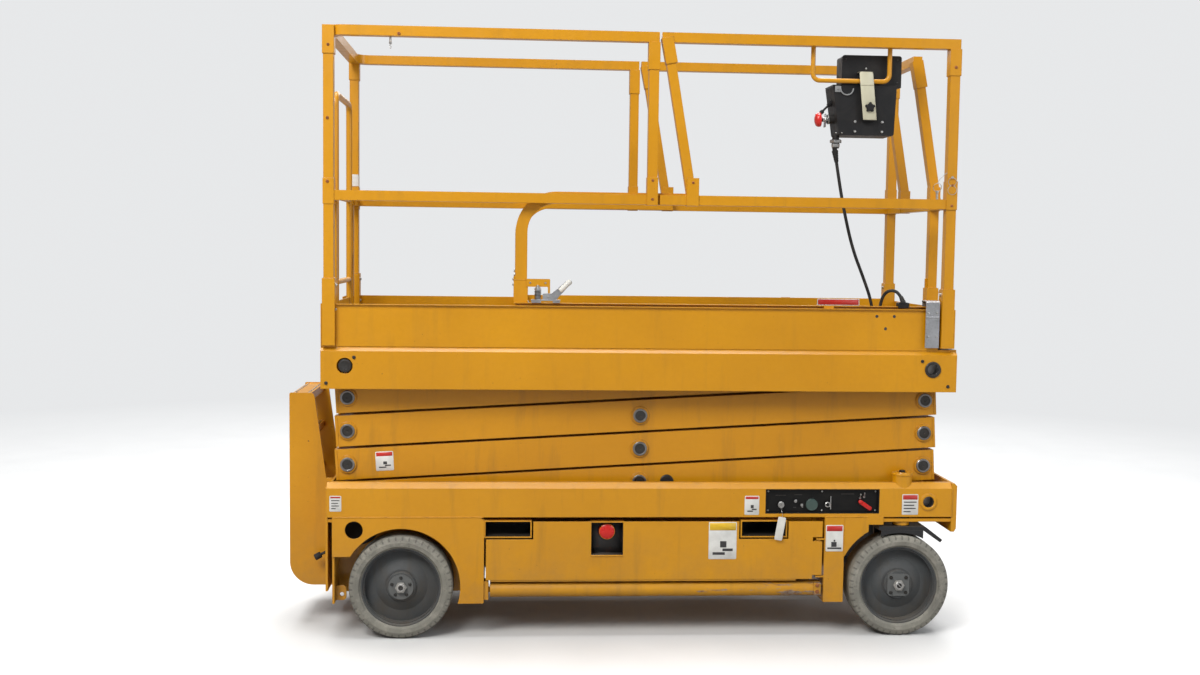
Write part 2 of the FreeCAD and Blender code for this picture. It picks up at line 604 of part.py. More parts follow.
def cylinder_barrel():
    a, b, n, at = cylinder_line()
    end = math.floor(n - ROD_SHOWN)       # whole millimetres
    tube = rod(at(150), at(end), BARREL_R).cut(rod(at(150), at(end), ROD_R + PIN_RUN))
    gland = rod(at(end - 32), at(end), BARREL_R + 4)
    gland = gland.cut(rod(at(end - 50), at(end + 10), ROD_R + PIN_RUN))
    base = rod(at(40), at(150), BARREL_R)
    half = LUG_Y[0] - 8
    eye = cyl_y(a[0], a[1], BARREL_EYE, -half, half)
    out = eye.fuse([base, tube, gland]).removeSplitter()
    return out.cut(cyl_y(a[0], a[1], CROSS_R + PIN_RUN, -60, 60))


def cylinder_rod():
    a, b, n, at = cylinder_line()
    half = LUG_Y[0] - 17
    eye = cyl_y(b[0], b[1], ROD_EYE, -half, half)
    return eye.fuse(rod(at(160), at(n - 20), ROD_R)).cut(cyl_y(*b, ROD_PIN_R, -40, 40))


# Platform
def platform_frame():
    x0, x1 = DECK_X
    z0, z1 = DECK_BEAM_Z
    y1 = DECK_BEAM_Y
    beam = channel(x0, x1, y1, z0, z1, DECK_BEVEL, BEAM_WALL, 44.0)
    zc = TOP_PIN_Z
    guides = slide_guides(x0 + 20, GUIDE_END, y1 - 4, zc)
    cheek = prism_xz([(LIFT_PIN_X - 60, z1), (x1 - 14, z1), (x1 - 14, z0 + 38),
                      (LIFT_PIN_X - 35, z0 + 38)], *CHEEK_Y)
    gusset = box(x1 - 24, x1 - 14, CHEEK_Y[0], y1 - 4, z0 + 38, z1)
    toe_x = REAR_POST_X + SLEEVE / 2
    ya, yb = TOE_Y
    toe = [box(toe_x, FIXED_TOE_END, ya, yb, DECK_TOP - 4, TOE_TOP),
           box(toe_x, FIXED_TOE_END, ya, yb + 9, TOE_TOP - 3, TOE_TOP),
           box(x0, x0 + 4, GATE_HALF, y1 - 8, DECK_TOP - 4, TOE_TOP),
           box(LIFT_PIN_X - 415, LIFT_PIN_X - 377, ya, yb, TOE_TOP - 3, TOE_TOP + 11)]
    pad = box(LIFT_PIN_X - 55, LIFT_PIN_X + 10, EXT_Y - 59, EXT_Y - 9, DECK_TOP,
              EXT_DECK_Z[0] - SEAT_GAP)
    side = both([beam, cheek, gusset, pad] + guides + toe)
    deck = box(x0, x1, DECK_BEVEL - y1, y1 - DECK_BEVEL, z1, DECK_TOP)
    ends = [box(x0, x0 + 8, 2 - y1, y1 - 2, z0 + 2, z1 - DECK_BEVEL),
            box(x1 - 8, x1, 2 - y1, y1 - 2, z0 + 2, z1 - DECK_BEVEL),
            box(x0, x0 + 8, DECK_BEVEL - y1, y1 - DECK_BEVEL, z1 - DECK_BEVEL - 1, z1),
            box(x1 - 8, x1, DECK_BEVEL - y1, y1 - DECK_BEVEL, z1 - DECK_BEVEL - 1, z1)]
    out = fused([side, deck] + ends)
    out = out.cut(cyl_y(LIFT_PIN_X, zc, BOSS_R, -y1 - 6, y1 + 6))
    # view of the sliding shaft's end in each side beam
    for s in (-1, 1):
        ys = sorted((s * (y1 - BEAM_WALL - 4), s * (y1 + 6)))
        out = out.cut(cyl_y(SLIDE_PIN_X, zc, PIN_R + 4, *ys))
    return out


def tube_x(x0, x1, y, zc, t=TUBE):
    return box(x0, x1, y - t / 2, y + t / 2, zc - t / 2, zc + t / 2)


def post(x, y, z0, z1, t=TUBE):
    return box(x - t / 2, x + t / 2, y - t / 2, y + t / 2, z0, z1)


def rear_top_rail():
    """Top rail from one side round the rear end to the other, bent in plan."""
    x, y, h = REAR_POST_X, RAIL_Y, TUBE / 2
    end = RAIL_SEAM_X - 4
    ro, ri = CORNER_R + h, CORNER_R - h
    return plate_xy([(end, y + h, 0), (x - h, y + h, ro), (x - h, -y - h, ro),
                     (end, -y - h, 0), (end, h - y, 0), (x + h, h - y, ri),
                     (x + h, y - h, ri), (end, y - h, 0)], TOP_Z - TUBE, TOP_Z)


def fixed_rails():
    y = RAIL_Y
    x = REAR_POST_X
    side = [post(x, y, DECK_TOP, TOP_Z - TUBE),
            post(x, y, DECK_TOP, TOE_TOP + 92, SLEEVE),
            post(x, y, TOP_Z - 102, TOP_Z - 2, 42),
            tube_x(x, RAIL_SEAM_X, y, MID_C),
            post(UP_POST_X, y, MID_RAIL_Z[0], TOP_Z - 1),
            post(UP_POST_X, y, TOP_Z - 134, TOP_Z - TUBE, 42),
            box(UP_POST_X - 20, UP_POST_X + 20, y - 20, y + 22, MID_RAIL_Z[0] - 2,
                MID_RAIL_Z[1] + 63),
            box(x - 20, x + 20, y - 20, y + 20, MID_RAIL_Z[0] - 14, MID_RAIL_Z[1] + 42),
            box(x - 18, x + 18, GATE_POST_Y, y, *MID_RAIL_Z),
            post(x, GATE_POST_Y, DECK_TOP, MID_RAIL_Z[1], 24)]
    lugs = []
    for z in (MID_RAIL_Z[0] - 270, MID_RAIL_Z[0] - 200, MID_RAIL_Z[0] - 70, MID_RAIL_Z[0]):
        lugs += [box(x - 8, x + 8, GATE_HINGE_Y, GATE_POST_Y - 10, z, z + 6),
                 cyl_z(x, GATE_HINGE_Y, 8, z, z + 6)]
    out = fused([both(side), rear_top_rail()] + lugs)
    return out.cut(cyl_z(x, GATE_HINGE_Y, GATE_PIN + PIN_RUN, MID_RAIL_Z[0] - 275, MID_RAIL_Z[0] + 10))


def gate():
    x, g = REAR_POST_X, GATE_HALF - 20
    top = MID_RAIL_Z[1] + (TOP_Z - MID_RAIL_Z[1]) * GATE_RISE
    hoop = piped([(x, -g, TOE_TOP - 60), (x, -g, top), (x, g, top), (x, g, TOE_TOP - 60)],
                 [0, 36, 36, 0], 12)
    out = [hoop, box(x - 3, x + 3, -g - 10, g + 10, DECK_TOP + 8, TOE_TOP)]
    for z in (TOE_TOP + 72, MID_C):
        out.append(rod((x, -g, z), (x, g, z), 10))
    for z in (MID_RAIL_Z[0] - 262, MID_RAIL_Z[0] - 62):
        out += [cyl_z(x, GATE_HINGE_Y, 8, z, z + 60),
                cyl_z(x, GATE_HINGE_Y, GATE_PIN, z - 8, z + 68),
                box(x - 4, x + 4, g + 4, GATE_HINGE_Y, z + 10, z + 50)]
    return fused(out)


# Sliding deck
def extension_deck():
    x0, x1 = EXT_X
    z0, z1 = EXT_DECK_Z
    plate = box(x0, x1, -EXT_Y, EXT_Y, z0, z1)
    nose = box(FIXED_TOE_END + 6, x1, -WIDTH_HALF + 2, WIDTH_HALF - 2, z0, z1)
    toes = both([box(x0, FIXED_TOE_END + 5, EXT_Y - 4, EXT_Y, z0, EXT_TOE_TOP),
                 box(x0, FIXED_TOE_END + 5, EXT_Y - 4, EXT_Y + EXT_LIP, EXT_TOE_TOP - 3,
                     EXT_TOE_TOP)])
    front = box(x1, x1 + 4, -WIDTH_HALF + 2, WIDTH_HALF - 2, z0, TOE_TOP)
    pads = both([box(x0 + 10, x0 + 90, EXT_Y - 59, EXT_Y - 9, DECK_TOP + SEAT_GAP, z0)])
    return fused([plate, nose, toes, front, pads])


def tall_tube():
    """Rear post of the sliding deck on the +Y side, bent forward into its mid rail."""
    xr = EXT_POST_X + 22.5
    depth = EXT_RAIL_Z[1] - EXT_RAIL_Z[0]
    za, zb = EXT_RAIL_Z
    return plate_xz([(xr - depth, EXT_DECK_Z[1], 0), (xr - depth, zb, EXT_BEND + depth),
                     (LEAN_LOW_X + 18, zb, 0), (LEAN_LOW_X + 18, za, 0), (xr, za, EXT_BEND),
                     (xr, EXT_DECK_Z[1], 0)], *EXT_RAIL_Y)


def extension_rails():
    y, x = RAIL_Y, FRONT_POST_X
    z0 = EXT_DECK_Z[1]
    zm = MID_RAIL_Z[0]
    yb = EXT_RAIL_Y[1]
    side = [tall_tube(),
            box(EXT_POST_X - 26, EXT_POST_X + 26, EXT_RAIL_Y[0] - 4, yb, z0, TOE_TOP + 92),
            tube_x(RAIL_SEAM_X + 7, x, y, MID_C),
            box(RAIL_SEAM_X + 20, RAIL_SEAM_X + 55, yb, y - 18, zm + 4, zm + 32),
            box(RAIL_SEAM_X + 100, RAIL_SEAM_X + 135, yb, y - 18, zm + 4, zm + 32),
            post(x, y, z0, TOP_Z - 1),
            post(x, y, z0, TOE_TOP + 75, SLEEVE),
            post(x, y, TOP_Z - 132, TOP_Z - TUBE, 42),
            box(x - 20, x + 20, y - 20, y + 22, zm - 2, zm + 103),
            tube_x(RAIL_SEAM_X + 7, x + TUBE / 2, y, TOP_C),
            slanted(LEAN_LOW_X, zm + 13, LEAN_TOP_X, TOP_C, 34, y - 17, y + 17),
            slanted(LEAN_TOP_X + 18, TOP_Z - 110, LEAN_TOP_X, TOP_C, 42, y - 21, y + 21),
            box(LEAN_LOW_X - 22, LEAN_LOW_X + 22, y - 20, y + 22, zm - 2, zm + 99),
            slanted(x + 10, MID_C, x + 10 - HOOP_LEAN, TOP_Z - 54, 34, HOOP_Y - 17,
                    HOOP_Y + 17),
            slanted(x + 30 - HOOP_LEAN, TOP_Z - 154, x + 10 - HOOP_LEAN, TOP_Z - 54, 42,
                    HOOP_Y - 21, HOOP_Y + 21),
            box(x - 20, x + 20, HOOP_Y - 20, HOOP_Y + 20, zm - 2, zm + 90)]
    near_post = [post(x, -HOOP_Y, z0, MID_C, 34), post(x, -HOOP_Y, z0, TOE_TOP + 75, SLEEVE)]
    gusset = plate_xz([(x - 24, z0, 0), (x + 22, z0, 0), (x + 22, z0 + 200, 8),
                       (x - 4, z0 + 250, 4), (x - 24, z0 + 250, 4)], -HOOP_Y - 4, 4 - HOOP_Y)
    cross = [box(x - 18, x + 18, -y, y, *MID_RAIL_Z),
             box(x - 7 - HOOP_LEAN, x + 27 - HOOP_LEAN, -HOOP_Y - 21, HOOP_Y + 21,
                 TOP_Z - 72, TOP_Z - 38)]
    latch = plate_xz([(EXT_POST_X + 20, TOE_TOP + 97, 0), (EXT_POST_X + 107, TOE_TOP + 97, 4),
                      (EXT_POST_X + 107, TOE_TOP + 44, 0), (EXT_POST_X + 99, TOE_TOP + 44, 0),
                      (EXT_POST_X + 99, TOE_TOP + 68, 4), (EXT_POST_X + 20, TOE_TOP + 68, 0)],
                     -yb - 4, -yb)
    return fused([both(side), gusset, latch] + near_post + cross)


def deck_latch():
    """Sprung pin latch of the sliding deck with its hand lever, on the -Y toe board."""
    x, z = EXT_POST_X, EXT_TOE_TOP
    y0, y1 = -EXT_Y - EXT_LIP - 6, -EXT_Y + 7
    base = box(x + 37, x + 144, y0, y1, z + 7, z + 11)
    feet = [box(x + a, x + b, y0 + 1, y1 - 1, z, z + 8)
            for a, b in ((39, 74), (117, 143))]
    barrel = [cyl_z(x + 62, (y0 + y1) / 2, 10, z + 10, z + 56),
              cyl_z(x + 62, (y0 + y1) / 2, 12.5, z + 46, z + 52)]
    lever = plate_xz([(x + 80, z + 10, 0), (x + 128, z + 10, 0), (x + 186, z + 74, 6),
                      (x + 170, z + 84, 6), (x + 112, z + 34, 8), (x + 80, z + 34, 4)],
                     y0 + 6, y0 + 10)
    grip = plate_xz([(x + 142, z + 52, 4), (x + 150, z + 43, 4), (x + 188, z + 76, 4),
                     (x + 181, z + 85, 4)], y0 + 1, y0 + 15)
    return fused([base, lever, grip] + feet + barrel)


def toe_strap():
    """Plated strap of the sliding deck that hooks over both toe boards."""
    x0, x1 = LIFT_PIN_X - 35, LIFT_PIN_X + 17
    z = EXT_TOE_TOP
    out_y = TOE_Y[1] + 9 + SIDE_GAP
    wire = [(-out_y, DECK_TOP + 8), (-out_y - 3, DECK_TOP + 8), (-out_y - 3, z + 17),
            (4 - out_y, z + 23), (EXT_LIP - EXT_Y + 2, z + 23), (7 - EXT_Y, z + 14),
            (7 - EXT_Y, z - 30), (4 - EXT_Y, z - 30), (4 - EXT_Y, z + 13),
            (EXT_LIP - EXT_Y, z + 20), (6 - out_y, z + 20), (-out_y, z + 15)]
    strap = prism_yz(wire, x0, x1)
    roll = cyl_x(-out_y - 1.5, z - 38, 4, x0 + 2, x1 - 2)
    return strap.fuse(roll).removeSplitter()


def boot(point, toward, length, r):
    """Round boot that ends at point, its end face square to the run to toward."""
    d = V(*toward) - V(*point)
    d.normalize()
    return Part.makeCylinder(r, length, V(*point) - d * length, d)


def control_box():
    x1, yc, zt = BOX_X, BOX_Y, BOX_TOP
    lower = plate_xz([(x1 - 240, zt - 111, 6), (x1 - 212, zt - 295, 8), (x1 - 7, zt - 295, 8),
                      (x1, zt - 111, 6)], yc - 54.7, yc + 65)
    upper = plate_xz([(x1 - 204, zt - 116, 0), (x1 + 20, zt - 116, 0), (x1 + 20, zt, 10),
                      (x1 - 204, zt, 10)], yc - 40, yc + 40)
    z = zt - 232
    stick = rod((x1 - 220, yc + 5, zt - 159), (x1 - 269, yc + 5, zt - 210), 4)
    stalk = rod((x1 - 210, yc, z), (x1 - 278, yc, z - 3), 8)
    stop = Part.makeCone(25, 16, 14, V(x1 - 276, yc, z - 3), V(-1, 0, -0.06))
    collar = rod((x1 - 212, yc, z), (x1 - 246, yc, z - 1), 17)
    ring = Part.makeTorus(24, 3.5, V(x1 - 188, yc - 56, zt - 124), V(0, 1, 0))
    ring = ring.common(box(x1 - 230, x1 - 150, yc - 70, yc - 40, zt - 160, zt - 124))
    lug = box(x1 - 232, x1 - 210, yc - 59, yc - 50, zt - 138, zt - 116)
    hook = [prism_xz([(x1 - 147, zt - 66), (x1 - 97, zt - 66), (x1 - 79, zt - 239),
                      (x1 - 129, zt - 239)], yc - 76, yc - 72.2),
            box(x1 - 147, x1 - 97, yc - 76, yc - 39, zt - 70, zt - 66),
            box(x1 - 129, x1 - 79, yc - 76, yc - 54, zt - 243, zt - 239),
            box(x1 - 145, x1 - 99, yc - 54.7, yc - 39, zt - 130, zt - 66)]
    plate_knob = cyl_y(x1 - 106, zt - 194, 13, yc - 86, yc - 74)
    gx, gy, gz = CABLE[0]
    gland = [cyl_z(gx, gy, 19, zt - 320, zt - 308), cyl_z(gx, gy, 13, zt - 340, zt - 293),
             boot(CABLE[0], CABLE[1], 30, 9)]
    return fused([lower, upper, stick, stalk, stop, collar, ring, lug, plate_knob]
                 + hook + gland)


def control_hanger():
    """U-shaped round tube hung on the -Y top rail; the box clips to it."""
    y, x = BOX_Y - 63.5, BOX_X
    pts = [(x - 318, y, TOP_Z - 10), (x - 318, y, HANG_Z), (x - 32, y, HANG_Z),
           (x - 32, y, TOP_Z - 10)]
    return piped(pts, [0, HANG_BEND, HANG_BEND, 0], 8.5)


def cable_bends():
    """Bend radius at each point of the cable: 0.45 of the shorter run."""
    pts = [V(*p) for p in CABLE]
    out = [0.0]
    for a, p, b in zip(pts, pts[1:], pts[2:]):
        turn = (p - a).getAngle(b - p)
        out.append(0.45 * min((p - a).Length, (b - p).Length) / math.tan(turn / 2.0))
    print("cable bends", [round(r) for r in out[1:]])
    return out + [0.0]


def control_cable():
    bends = cable_bends()
    tube = piped(CABLE, bends, CABLE_R)
    spine = filleted([(V(*p), b) for p, b in zip(CABLE, bends)], closed=False)
    print("cable length %.1f, volume over section times length %.4f"
          % (spine.Length, tube.Volume / (math.pi * CABLE_R ** 2 * spine.Length)))
    return tube


def cable_plug():
    """Plug on the sliding toe board's lip, its collar square to the cable."""
    x, y, z = CABLE[-1]
    body = plate_xz([(x - 21, EXT_TOE_TOP, 2), (x + 21, EXT_TOE_TOP, 2),
                     (x + 21, z - 4, 5), (x - 21, z - 4, 5)], -EXT_Y - 16, -EXT_Y + 10)
    skirt = box(x - 19, x + 19, -EXT_Y - 16, -EXT_Y - EXT_LIP, EXT_TOE_TOP - 6,
                EXT_TOE_TOP + 5)
    return fused([body, skirt, boot(CABLE[-1], CABLE[-2], 12, 8.5)])


# Trays, guards
def tray(recess):
    """Swing-out tray on the +Y side; its door is notched round the fork pockets."""
    x0, x1 = TRAY_X
    z0, z1 = TRAY_Z
    ya, yb = TRAY_Y
    hx, hy = TRAY_HINGE
    door = box(x0, x1, yb - 4, yb, z0 - 5, z1)
    shelf = box(x0 + 30, x1 - 190, ya, yb - 2, z0, z0 + 6)
    back = box(x0 + 30, x1 - 190, ya, ya + 4, z0, z0 + 60)
    edge = box(x0 + 16, x1 - 97, yb - 14, yb - 2, z0 - 11, z0 - 4)
    hinge = cyl_z(hx, hy, 8, z0 + 10, 360)
    leaf = box(x1 - 30, hx, yb - 12, yb - 2, z0 + 10, 360)
    for z in (z0 - 6, 358):
        door = door.cut(box(x1 - 36, x1 + 1, yb - 20, yb + 1, z, z + 16))
    pin = cyl_z(hx, hy, 5, 221, 369)
    out = fused([door, shelf, back, edge, hinge, leaf, pin])
    room = POCKET_WALL + SIDE_GAP + 0.5
    for c in POCKET_C:
        out = out.cut(box(c - POCKET_W / 2 - room, c + POCKET_W / 2 + room, ya - 10, yb + 5,
                          POCKET_Z[0] - room, z1 + 5))
    if recess:
        cx = (x0 + x1) / 2 - 180.5
        cup = box(cx - 63, cx + 63, yb - 40, yb - 2, z1 - 129, z1)
        out = out.fuse(cup).cut(box(cx - 59, cx + 59, yb - 36, yb + 5, z1 - 125, z1 - 4))
        out = out.fuse(cyl_y(cx, z1 - 40, 29, yb - 37, yb - 12)).removeSplitter()
    return out


def tray_load(dz):
    """The heavy load on a tray, as one plain block."""
    x0, x1 = TRAY_X
    z = TRAY_Z[0] + 6
    return box(x0 + 60, x1 - 230, TRAY_Y[0] + 8, TRAY_Y[1] - 46, z, z + dz)


def guard():
    """Fold-down ground guard on the +Y side: leaf stowed flat under the chassis."""
    y, z = GUARD_AXIS
    x0, x1 = GUARD_X
    tube = cyl_x(y, z, GUARD_R, x0, x1)
    leaf = box(x0 + 10, x1 - 10, y - GUARD_LEAF, y, z - 4, z + 4)
    rib = [box(x0 + 10, x1 - 10, y - GUARD_LEAF, y - GUARD_LEAF + 5, z - 4, z + 14)]
    stub = cyl_x(y, z, GUARD_PIN, x0 - 24, x1 + 30)
    end = box(x1 - 28, x1 - 2, y - 24, y + 30, z - 20, z + 26)
    return fused([tube, leaf, stub, end] + rib)


save("chassis_frame", chassis_frame())
save("base_pin", fixed_pin(LIFT_PIN_Z, BEAM_Y + 3, PIN_R - 4, 43))
save("rear_skirts", rear_skirts())
save("ladder", ladder())
save("rear_lever", rear_lever())
save("ground_controls", ground_controls())
save("rear_drive", rear_drive())

t = tyre()
for side, s in (("near", -1), ("far", 1)):
    for end, x in (("rear", REAR_AXLE_X), ("front", FRONT_AXLE_X)):
        r = rim(BOSS_R + 1 if end == "rear" else PIN_R + PIN_RUN, end == "rear")
        if s < 0:
            r = mirrored(r)
        save("tyre_%s_%s" % (end, side), placed(t, x, s * WHEEL_Y, TYRE_R))
        save("rim_%s_%s" % (end, side), placed(r, x, s * WHEEL_Y, TYRE_R))

k = knuckle()
save("knuckle_far", k)
save("knuckle_near", mirrored(k))

for level in range(1, LEVELS + 1):
    save("inner_arms_%d" % level, inner_arms(level))
    save("outer_arms_%d" % level, outer_arms(level))
save("cylinder_barrel", cylinder_barrel())
save("cylinder_rod", cylinder_rod())

save("platform_frame", platform_frame())
save("platform_pin", fixed_pin(TOP_PIN_Z, DECK_BEAM_Y + 3, PIN_R - 5, 37))
save("fixed_rails", fixed_rails())
save("gate", gate())
save("extension_deck", extension_deck())
save("extension_rails", extension_rails())
save("deck_latch", deck_latch())
save("toe_strap", toe_strap())
save("control_box", control_box())
save("control_hanger", control_hanger())
save("control_cable", control_cable())
save("cable_plug", cable_plug())

save("tray_near", mirrored(tray(True)))
save("tray_far", tray(False))
save("battery_block", mirrored(tray_load(130.0)))
save("power_unit", tray_load(120.0))
g = guard()
save("guard_near", mirrored(g))
save("guard_far", g)
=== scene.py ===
"""Looks of a narrow electric scissor lift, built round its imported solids.

Every length is in metres in the machine's own frame: +X towards the steered
front wheels, +Y away from the ground controls, +Z up, the origin on the floor
under the middle of the outline.
"""

from __future__ import annotations

import logging
import math
from dataclasses import dataclass, field
from enum import Enum
from typing import Callable, Iterable, Optional, Sequence

import bmesh
import bpy
from mathutils import Matrix, Vector


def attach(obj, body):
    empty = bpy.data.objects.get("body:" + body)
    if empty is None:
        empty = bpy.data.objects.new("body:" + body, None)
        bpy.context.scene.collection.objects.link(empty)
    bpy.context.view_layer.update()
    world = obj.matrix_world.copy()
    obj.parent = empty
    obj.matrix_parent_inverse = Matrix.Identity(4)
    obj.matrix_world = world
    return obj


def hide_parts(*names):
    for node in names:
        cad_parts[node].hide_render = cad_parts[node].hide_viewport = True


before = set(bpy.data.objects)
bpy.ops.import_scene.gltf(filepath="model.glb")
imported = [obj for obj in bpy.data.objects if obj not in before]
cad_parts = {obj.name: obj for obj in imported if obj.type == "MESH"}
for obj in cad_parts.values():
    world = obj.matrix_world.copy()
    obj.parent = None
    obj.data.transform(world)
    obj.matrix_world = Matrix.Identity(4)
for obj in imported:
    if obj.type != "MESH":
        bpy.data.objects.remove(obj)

LOG = logging.getLogger("scissor_lift")

Point = tuple[float, float, float]
Flat = tuple[float, float]
Colour = tuple[float, float, float]

PALE: Colour = (0.80, 0.81, 0.82)


class Graph:
    """A small builder for shader node graphs in object space."""

    def __init__(self, name: str) -> None:
        """Open a new material called name, with its output and principled shader."""
        self.material = bpy.data.materials.new(name)
        self.material.use_nodes = True
        self.tree = self.material.node_tree
        self.tree.nodes.clear()
        self.output = self.add("ShaderNodeOutputMaterial")
        self.shader = self.add("ShaderNodeBsdfPrincipled")
        self.link(self.shader.outputs["BSDF"], self.output.inputs["Surface"])
        self.coords = self.add("ShaderNodeTexCoord").outputs["Object"]
        self.normal: Optional[bpy.types.NodeSocket] = None

    def add(self, kind: str, **values: object) -> bpy.types.Node:
        """Add a node.

        Args:
            kind: The node's type name.
            values: Attributes of the node to set.

        Returns:
            The new node.
        """
        node = self.tree.nodes.new(kind)
        for key, value in values.items():
            setattr(node, key, value)
        return node

    def link(self, source: bpy.types.NodeSocket, target: bpy.types.NodeSocket) -> None:
        """Join two sockets."""
        self.tree.links.new(source, target)

    def feed(self, value: object, target: bpy.types.NodeSocket) -> None:
        """Put a socket or a plain value into target."""
        if isinstance(value, bpy.types.NodeSocket):
            self.link(value, target)
        elif isinstance(value, tuple) and len(value) == 3 and target.type == "RGBA":
            target.default_value = (*value, 1.0)
        else:
            target.default_value = value

    def stretched(self, scale: Point, turn: Point = (0.0, 0.0, 0.0)) -> bpy.types.NodeSocket:
        """Object coordinates scaled and turned, for brushed or streaky patterns."""
        node = self.add("ShaderNodeMapping")
        self.link(self.coords, node.inputs["Vector"])
        node.inputs["Scale"].default_value = scale
        node.inputs["Rotation"].default_value = turn
        return node.outputs["Vector"]

    def noise(self, scale: float, detail: float = 4.0, rough: float = 0.55,
              coords: Optional[bpy.types.NodeSocket] = None, twist: float = 0.0
              ) -> bpy.types.NodeSocket:
        """Fractal noise from 0 to 1.

        Args:
            scale: Features per metre, roughly.
            detail: Octaves.
            rough: Weight of the finer octaves.
            coords: Coordinates, or None for plain object space.
            twist: Distortion of the pattern.

        Returns:
            The noise value.
        """
        node = self.add("ShaderNodeTexNoise")
        self.link(coords or self.coords, node.inputs["Vector"])
        node.inputs["Scale"].default_value = scale
        node.inputs["Detail"].default_value = detail
        node.inputs["Roughness"].default_value = rough
        node.inputs["Distortion"].default_value = twist
        return node.outputs["Fac"]

    def cells(self, scale: float, coords: Optional[bpy.types.NodeSocket] = None
              ) -> bpy.types.NodeSocket:
        """Distance to the nearest point of a random cell pattern."""
        node = self.add("ShaderNodeTexVoronoi")
        self.link(coords or self.coords, node.inputs["Vector"])
        node.inputs["Scale"].default_value = scale
        return node.outputs["Distance"]

    def ramp(self, value: bpy.types.NodeSocket, low: float, high: float,
             out_low: float = 0.0, out_high: float = 1.0) -> bpy.types.NodeSocket:
        """Map value from low..high to out_low..out_high, clamped."""
        node = self.add("ShaderNodeMapRange")
        self.link(value, node.inputs["Value"])
        for key, number in (("From Min", low), ("From Max", high),
                            ("To Min", out_low), ("To Max", out_high)):
            node.inputs[key].default_value = number
        return node.outputs["Result"]

    def math(self, kind: str, a: object, b: object = 0.0) -> bpy.types.NodeSocket:
        """A clamped maths node of two values."""
        node = self.add("ShaderNodeMath", operation=kind, use_clamp=True)
        self.feed(a, node.inputs[0])
        self.feed(b, node.inputs[1])
        return node.outputs[0]

    def mix(self, factor: object, a: object, b: object) -> bpy.types.NodeSocket:
        """Blend two colours by factor."""
        node = self.add("ShaderNodeMix", data_type="RGBA")
        self.feed(factor, node.inputs["Factor"])
        self.feed(a, node.inputs[6])
        self.feed(b, node.inputs[7])
        return node.outputs[2]

    def facing_up(self, low: float = 0.55, high: float = 0.98) -> bpy.types.NodeSocket:
        """1 where the surface faces up, 0 on walls."""
        geometry = self.add("ShaderNodeNewGeometry")
        split = self.add("ShaderNodeSeparateXYZ")
        self.link(geometry.outputs["Normal"], split.inputs[0])
        return self.ramp(split.outputs["Z"], low, high)

    def axes(self) -> tuple[bpy.types.NodeSocket, ...]:
        """The object coordinates as three values."""
        split = self.add("ShaderNodeSeparateXYZ")
        self.link(self.coords, split.inputs[0])
        return tuple(split.outputs)

    def height(self, low: float, high: float) -> bpy.types.NodeSocket:
        """1 at object height low, falling to 0 at high."""
        return self.ramp(self.axes()[2], low, high, 1.0, 0.0)

    def sums(self, kind: str, a: object, b: object = 0.0) -> bpy.types.NodeSocket:
        """An unclamped maths node of two values."""
        node = self.add("ShaderNodeMath", operation=kind)
        self.feed(a, node.inputs[0])
        self.feed(b, node.inputs[1])
        return node.outputs[0]

    def within(self, value: object, low: float, high: float, soft: float = 0.0004
               ) -> bpy.types.NodeSocket:
        """1 where value lies from low to high, with soft ends."""
        rise = self.ramp(value, low - soft, low + soft)
        fall = self.ramp(value, high - soft, high + soft, 1.0, 0.0)
        return self.math("MULTIPLY", rise, fall)

    def soft_edges(self, radius: float) -> bpy.types.NodeSocket:
        """Round the shading of hard edges by radius, as a base for bumps."""
        node = self.add("ShaderNodeBevel", samples=4)
        node.inputs["Radius"].default_value = radius
        self.normal = node.outputs["Normal"]
        return self.normal

    def worn_edges(self, radius: float, low: float = 0.02, high: float = 0.16
                   ) -> bpy.types.NodeSocket:
        """1 along convex and concave edges, from the rounded normal's tilt."""
        bevel = self.add("ShaderNodeBevel", samples=4)
        bevel.inputs["Radius"].default_value = radius
        geometry = self.add("ShaderNodeNewGeometry")
        dot = self.add("ShaderNodeVectorMath", operation="DOT_PRODUCT")
        self.link(bevel.outputs["Normal"], dot.inputs[0])
        self.link(geometry.outputs["Normal"], dot.inputs[1])
        tilt = self.math("SUBTRACT", 1.0, dot.outputs["Value"])
        return self.ramp(tilt, low, high)

    def bump(self, height: bpy.types.NodeSocket, distance: float, strength: float = 1.0
             ) -> None:
        """Add a bump on top of what the normal already holds.

        Args:
            height: The height pattern, 0 to 1.
            distance: Height of the pattern in metres.
            strength: Share of the bump that shows.
        """
        node = self.add("ShaderNodeBump")
        self.link(height, node.inputs["Height"])
        node.inputs["Distance"].default_value = distance
        node.inputs["Strength"].default_value = strength
        if self.normal is not None:
            self.link(self.normal, node.inputs["Normal"])
        self.normal = node.outputs["Normal"]

    def close(self, colour: object, rough: object, **sockets: float) -> bpy.types.Material:
        """Wire colour and roughness up and finish.

        Args:
            colour: A colour or a socket.
            rough: A roughness or a socket.
            sockets: Further plain values of the shader, with _ for a space.

        Returns:
            The finished material.
        """
        self.feed(colour, self.shader.inputs["Base Color"])
        self.feed(rough, self.shader.inputs["Roughness"])
        for key, value in sockets.items():
            self.shader.inputs[key.replace("_", " ").title().replace("Ior", "IOR")
                               ].default_value = value
        if self.normal is not None:
            self.link(self.normal, self.shader.inputs["Normal"])
        return self.material


